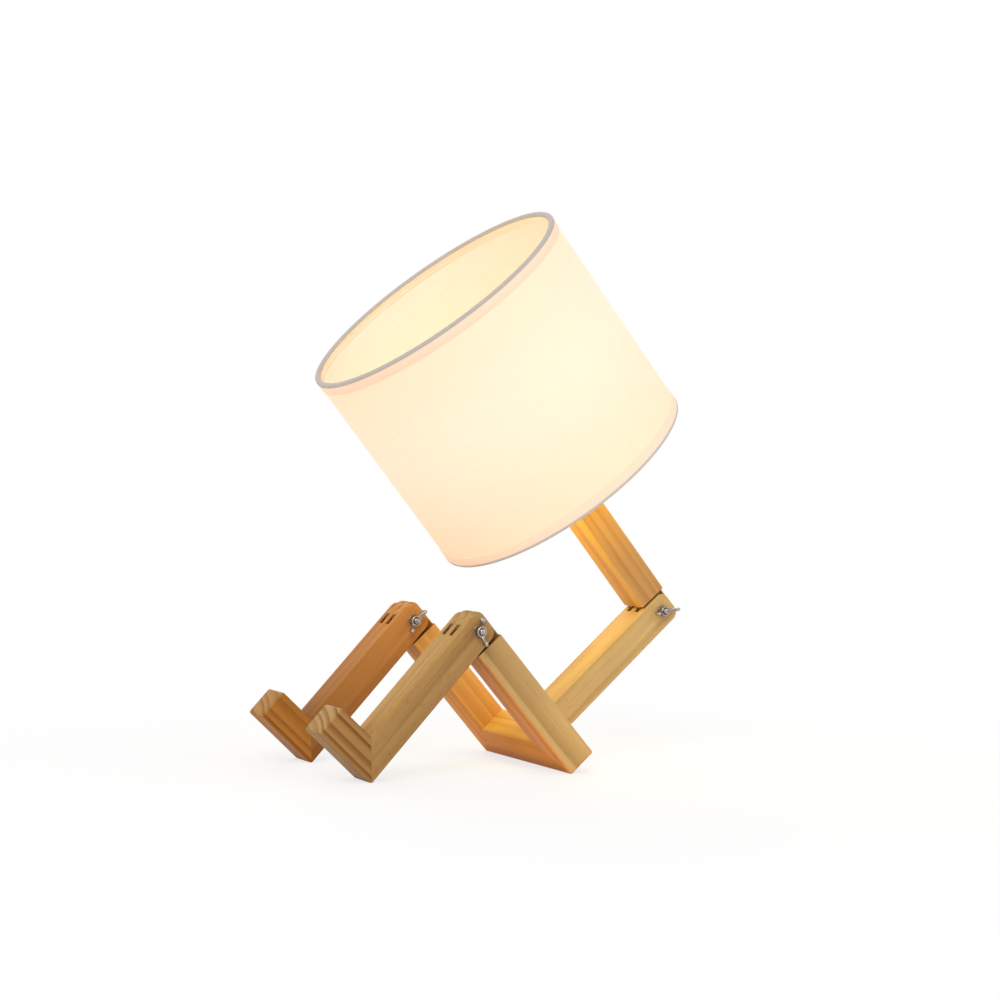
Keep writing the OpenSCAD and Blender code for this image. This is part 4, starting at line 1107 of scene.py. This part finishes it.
def makeHemMaterial(name, rim, away, rolled):
    # grey where it is rolled over the wire, glowing like the shade below
    material, tree, shader = startMaterial(name)
    local = localPoint(tree, shadeFrame)
    weave = addWeave(tree, local, shade["radius"], 0.0006)
    height = addNode(tree, "ShaderNodeSeparateXYZ", {0: local}).outputs[2]
    below = calc(tree, "MULTIPLY", calc(tree, "SUBTRACT", rim, height), away)
    wavy = calc(tree, "MULTIPLY_ADD", calc(tree, "SUBTRACT", weave.outputs["Slub"], 0.5), 0.00025, below)
    lit = ramped(tree, wavy, 0.0014, 0.0024)
    split = addNode(tree, "ShaderNodeSeparateXYZ", {0: local})
    outwards = addNode(tree, "ShaderNodeCombineXYZ", {0: split.outputs[0], 1: split.outputs[1]}).outputs[0]
    outwards = addNode(tree, "ShaderNodeVectorMath", {0: outwards}, operation="LENGTH").outputs["Value"]
    outside = ramped(tree, outwards, 0.0992, 0.0998)
    tone = mixColor(tree, outside, color(229, 221, 209), color(206, 193, 176))
    tone = mixColor(tree, lit, rolled, tone)
    tone = mixColor(tree, calc(tree, "MULTIPLY", weave.outputs["Thread"], 0.12), tone, color(240, 232, 220))
    tree.links.new(tone, shader.inputs["Base Color"])
    glow = mixColor(tree, outside, (0.16, 0.07, 0.015, 1), (0.41, 0.19, 0.085, 1))
    glow = mixColor(tree, lit, (0.02, 0.012, 0.008, 1), glow)
    tree.links.new(glow, shader.inputs["Emission Color"])
    shader.inputs["Emission Strength"].default_value = 1.0
    tree.links.new(calc(tree, "MULTIPLY_ADD", weave.outputs["Slub"], 0.1, 0.75), shader.inputs["Roughness"])
    addBump(tree, shader, weave.outputs["Height"], 0.35, 0.0002)
    return material


def makeFabric():
    # the cloth is wrapped round the lining, and its end laps over its start
    radius, thick, tall = shade["radius"], shade["fabric"], shade["height"]
    deselectAll()
    bpy.ops.mesh.primitive_plane_add(size=1, location=(radius - thick / 2, 0, tall / 2), rotation=(math.pi / 2, 0, 0))
    bpy.context.object.scale = (thick, tall, 1)
    piece = startPiece("shade_fabric_wrap")
    bpy.ops.mesh.select_all(action="SELECT")
    bpy.ops.mesh.spin(steps=176, angle=math.radians(352), center=(0, 0, 0), axis=(0, 0, 1))
    factor = (radius + thick + 0.04 * mm) / radius
    bpy.ops.transform.resize(value=(factor, factor, 1), center_override=(0, 0, tall / 2))
    lap = math.degrees(shade["seamLap"] / radius)
    bpy.ops.mesh.spin(steps=7, angle=math.radians(8 + lap), center=(0, 0, 0), axis=(0, 0, 1))
    cleanMesh()
    bpy.ops.object.mode_set(mode="OBJECT")
    turn = Matrix.Rotation(math.radians(shade["seamTurn"]), 4, "Z")
    return finishPiece(piece, shadeFrame @ turn, "head", makeFabricMaterial(), "fabric_ivory", "shade_fabric", angle=40)


def makeLining():
    outer = shade["radius"] - shade["fabric"] - 0.02 * mm
    inner = outer - shade["lining"]
    tall = shade["height"]
    rings = [(outer, 0.05 * mm), (outer, tall * 0.33), (outer, tall * 0.66), (outer, tall - 0.05 * mm),
             (inner, tall - 0.05 * mm), (inner, tall * 0.66), (inner, tall * 0.33), (inner, 0.05 * mm)]
    piece = turnPiece("shade_lining_wall", rings, vertices=192, closed="loop")
    return finishPiece(piece, shadeFrame, "head", makeLiningMaterial(), "lining_white", "shade_lining", angle=40)


def makeHem(name, atTop, node):
    radius, tape = shade["radius"] + 0.02 * mm, shade["tape"]
    outer, inner = radius + tape, shade["hemInner"]
    deep, inside = -shade["hem"], -shade["hemInside"]
    lies = shade["radius"] - shade["fabric"] - shade["lining"] - tape - 0.05 * mm
    rings = [
        (radius, deep), (outer - 0.1 * mm, deep), (outer, deep + 0.15 * mm), (outer, -3 * mm), (outer + 0.05 * mm, -2.2 * mm),
        (outer + 0.2 * mm, -1.6 * mm), (outer + 0.28 * mm, -0.9 * mm), (outer + 0.15 * mm, -0.25 * mm), (outer - 0.3 * mm, 0.2 * mm),
        (outer - 1.1 * mm, 0.4 * mm), (outer - 2.0 * mm, 0.4 * mm), (inner + 0.9 * mm, 0.35 * mm), (inner + 0.3 * mm, 0.05 * mm),
        (inner, -0.5 * mm), (inner - 0.05 * mm, -1.2 * mm), (inner + 0.1 * mm, -2.2 * mm), (inner + 0.6 * mm, -3.0 * mm),
        (lies - 0.35 * mm, -4.2 * mm), (lies, -5.2 * mm), (lies, inside), (lies + 0.15 * mm, inside - 0.15 * mm),
        (lies + tape, inside - 0.15 * mm), (lies + tape, -4.9 * mm), (lies + tape - 0.5 * mm, -3.7 * mm),
        (inner + tape + 0.35 * mm, -2.6 * mm), (inner + tape, -1.9 * mm), (inner + tape, -0.4 * mm),
        (inner + tape + 0.25 * mm, -0.05 * mm),
        (radius - 0.3 * mm, 0.0), (radius, -0.3 * mm),
    ]
    piece = turnPiece(name, rings, vertices=192, closed="loop")
    # the tape rises over the lapped seam of the cloth
    seam = math.radians(shade["seamTurn"] - 1.5) * (1 if atTop else -1)
    reach = math.radians(8.4)
    bpy.ops.object.mode_set(mode="EDIT")
    pickVertices(piece, lambda point: abs(math.atan2(point.y, point.x) - seam) < reach
                 and math.hypot(point.x, point.y) > radius - 0.05 * mm and point.z < -0.2 * mm)
    factor = 1 + (shade["fabric"] + 0.1 * mm) / radius
    bpy.ops.transform.resize(value=(factor, factor, 1), center_override=(0, 0, 0))
    bpy.ops.object.mode_set(mode="OBJECT")
    if atTop:
        place = shadeFrame @ Matrix.Translation((0, 0, shade["height"]))
    else:
        place = shadeFrame @ Matrix.Rotation(math.pi, 4, "X")
    rolled = color(173, 165, 159) if atTop else color(192, 180, 172)
    material = makeHemMaterial(name + "_tape", shade["height"] if atTop else 0.0, 1.0 if atTop else -1.0, rolled)
    return finishPiece(piece, place, "head", material, "hem_taupe", node, angle=50)


def makeRingWire(name, height):
    deselectAll()
    bpy.ops.mesh.primitive_torus_add(major_segments=160, minor_segments=16, major_radius=shade["wireRing"],
                                     minor_radius=shade["wire"], location=(0, 0, height))
    bpy.context.object.name = name
    bpy.ops.object.transform_apply(location=True, rotation=True, scale=True)
    return bpy.context.object


def makeSpoke(turn):
    # a rod from the bottom ring up to the plate, with its inner end bent level and welded on
    radius = shade["spoke"]
    top = shade["plateFrom"] + shade["plateThick"] / 2
    route = [(shade["wireRing"], shade["wire"]), (36.5 * mm, top - 1.0 * mm), (33.5 * mm, top - 0.15 * mm), (30.6 * mm, top)]
    deselectAll()
    rise = math.atan2(route[1][1] - route[0][1], route[0][0] - route[1][0])
    bpy.ops.mesh.primitive_circle_add(vertices=16, radius=radius, location=(route[0][0], 0, route[0][1]),
                                      rotation=(0, math.pi / 2, 0), fill_type="NGON")
    piece = startPiece("spoke")
    bpy.ops.mesh.select_all(action="SELECT")
    bpy.ops.transform.rotate(value=rise, orient_axis="Y", center_override=(route[0][0], 0, route[0][1]))
    for before, after in zip(route, route[1:]):
        bpy.ops.mesh.extrude_region_move(TRANSFORM_OT_translate={"value": (after[0] - before[0], 0, after[1] - before[1])})
    cleanMesh()
    bpy.ops.object.mode_set(mode="OBJECT")
    placePiece(piece, Matrix.Rotation(math.radians(turn), 4, "Z"))
    return piece


def makeFitter():
    inner, outer, low = holder["radius"] + 0.05 * mm, shade["plate"], shade["plateFrom"]
    high, soft = low + shade["plateThick"], 0.25 * mm
    rings = [(inner + soft, low), (outer - soft, low), (outer, low + soft), (outer, high - soft), (outer - soft, high),
             (inner + soft, high), (inner, high - soft), (inner, low + soft)]
    plate = turnPiece("plate", rings, vertices=96, closed="loop")
    parts = [plate, makeRingWire("bottom_ring", shade["wire"])] + [makeSpoke(turn) for turn in (60, 180, 300)]
    piece = joinPieces("shade_fitter", *parts)
    finishPiece(piece, shadeFrame, "head", finishes["wire"], "wire_white", "fitter")


def makeTopWire():
    piece = makeRingWire("shade_top_wire", shade["height"] - shade["wire"])
    finishPiece(piece, shadeFrame, "head", finishes["wire"], "wire_white", "top_wire")


fabric = makeFabric()
lining = makeLining()
topHem = makeHem("hem_top", True, "top_hem")
bottomHem = makeHem("hem_bottom", False, "bottom_hem")
makeFitter()
makeTopWire()
print("shade built")


# ---- floor, backdrop and light ----
def makeFloor():
    deselectAll()
    bpy.ops.mesh.primitive_plane_add(size=40, location=(0, 0, 0))
    floor = bpy.context.object
    floor.name = "floor"
    material, tree, shader = startMaterial("floor_white")
    shader.inputs["Base Color"].default_value = (0.86, 0.86, 0.86, 1)
    shader.inputs["Roughness"].default_value = 0.7
    shader.inputs["Specular IOR Level"].default_value = 0.1
    path = addNode(tree, "ShaderNodeLightPath")
    seen = calc(tree, "MAXIMUM", path.outputs["Is Camera Ray"], path.outputs["Is Glossy Ray"])
    seen = calc(tree, "MAXIMUM", seen, path.outputs["Is Transmission Ray"])
    white = addNode(tree, "ShaderNodeEmission", {"Color": (1, 1, 1, 1), "Strength": 1.0})
    # the floor runs out to plain white away from the object, and keeps its shadow near it
    where = addNode(tree, "ShaderNodeTexCoord").outputs["Object"]
    away = addNode(tree, "ShaderNodeVectorMath", {0: where}, operation="LENGTH").outputs["Value"]
    share = calc(tree, "MULTIPLY", seen, ramped(tree, away, 0.15, 0.6, 0.72, 1.0))
    mix = addNode(tree, "ShaderNodeMixShader", {0: share, 1: shader.outputs[0], 2: white.outputs[0]})
    tree.links.new(mix.outputs[0], tree.nodes["Material Output"].inputs["Surface"])
    floor.data.materials.append(material)


def makeWorld():
    world = bpy.data.worlds.new("studio")
    bpy.context.scene.world = world
    world.use_nodes = True
    tree = world.node_tree
    tree.nodes.clear()
    path = addNode(tree, "ShaderNodeLightPath")
    seen = calc(tree, "MAXIMUM", path.outputs["Is Camera Ray"], path.outputs["Is Glossy Ray"])
    seen = calc(tree, "MAXIMUM", seen, path.outputs["Is Transmission Ray"])
    dim = addNode(tree, "ShaderNodeBackground", {"Color": (1, 1, 1, 1), "Strength": 0.62})
    white = addNode(tree, "ShaderNodeBackground", {"Color": (1, 1, 1, 1), "Strength": 1.0})
    mix = addNode(tree, "ShaderNodeMixShader", {0: seen, 1: dim.outputs[0], 2: white.outputs[0]})
    out = addNode(tree, "ShaderNodeOutputWorld")
    tree.links.new(mix.outputs[0], out.inputs["Surface"])


lamps = {
    "key": {"place": (-1.5, -2.0, 2.2), "target": (0, 0, 0.15), "size": 1.8, "power": 48},
    "fill": {"place": (2.2, -1.4, 1.3), "target": (0, 0, 0.15), "size": 2.0, "power": 13},
    "back": {"place": (0.6, 2.4, 2.0), "target": (0, 0, 0.15), "size": 2.0, "power": 20},
    "side": {"place": (-1.5, 0.9, 0.15), "target": (0, 0, 0.1), "size": 0.8, "power": 6, "tint": (1, 0.84, 0.6)},
}
# the lamp is lit: its bulb, and the warm light that leaves the shade downwards
litLamp = {
    "bulbPower": 0.062, "bulbColor": (1.0, 0.66, 0.25), "bulbSize": 31 * mm,
    "opening": 190 * mm, "below": 3 * mm, "openingPower": 0.24, "openingColor": (1.0, 0.8, 0.03),
}


def addLight(name, kind, power, tint, place):
    data = bpy.data.lights.new(name, kind)
    data.energy = power
    data.color = tint
    light = bpy.data.objects.new(name, data)
    bpy.context.scene.collection.objects.link(light)
    light.matrix_world = place
    return light


def makeLamp(name, place, target, size, power, tint=(1, 1, 1)):
    turn = (Vector(target) - Vector(place)).to_track_quat("-Z", "Y").to_matrix().to_4x4()
    lamp = addLight(name, "AREA", power, tint, Matrix.Translation(place) @ turn)
    lamp.data.shape = "DISK"
    lamp.data.size = size


def lightLamp(settings):
    # both lights move with the shade
    globe = lampFrame @ Matrix.Translation((0, 0, bulb["centre"]))
    shine = addLight("bulb_light", "POINT", settings["bulbPower"], settings["bulbColor"], globe)
    shine.data.shadow_soft_size = settings["bulbSize"]
    shine.data.use_soft_falloff = False  # light leaves the whole skin of the globe
    opening = shadeFrame @ Matrix.Translation((0, 0, -settings["below"]))
    spill = addLight("opening_light", "AREA", settings["openingPower"], settings["openingColor"], opening)
    spill.data.shape = "DISK"
    spill.data.size = settings["opening"]
    for light in (shine, spill):
        light.visible_camera = False
        light.visible_glossy = False
        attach(light, "head")


makeFloor()
makeWorld()
for name, lamp in lamps.items():
    makeLamp(name, **lamp)
lightLamp(litLamp)
bpy.context.scene.view_settings.view_transform = "Standard"
print("floor and light set")

deselectAll()
bpy.context.view_layer.update()
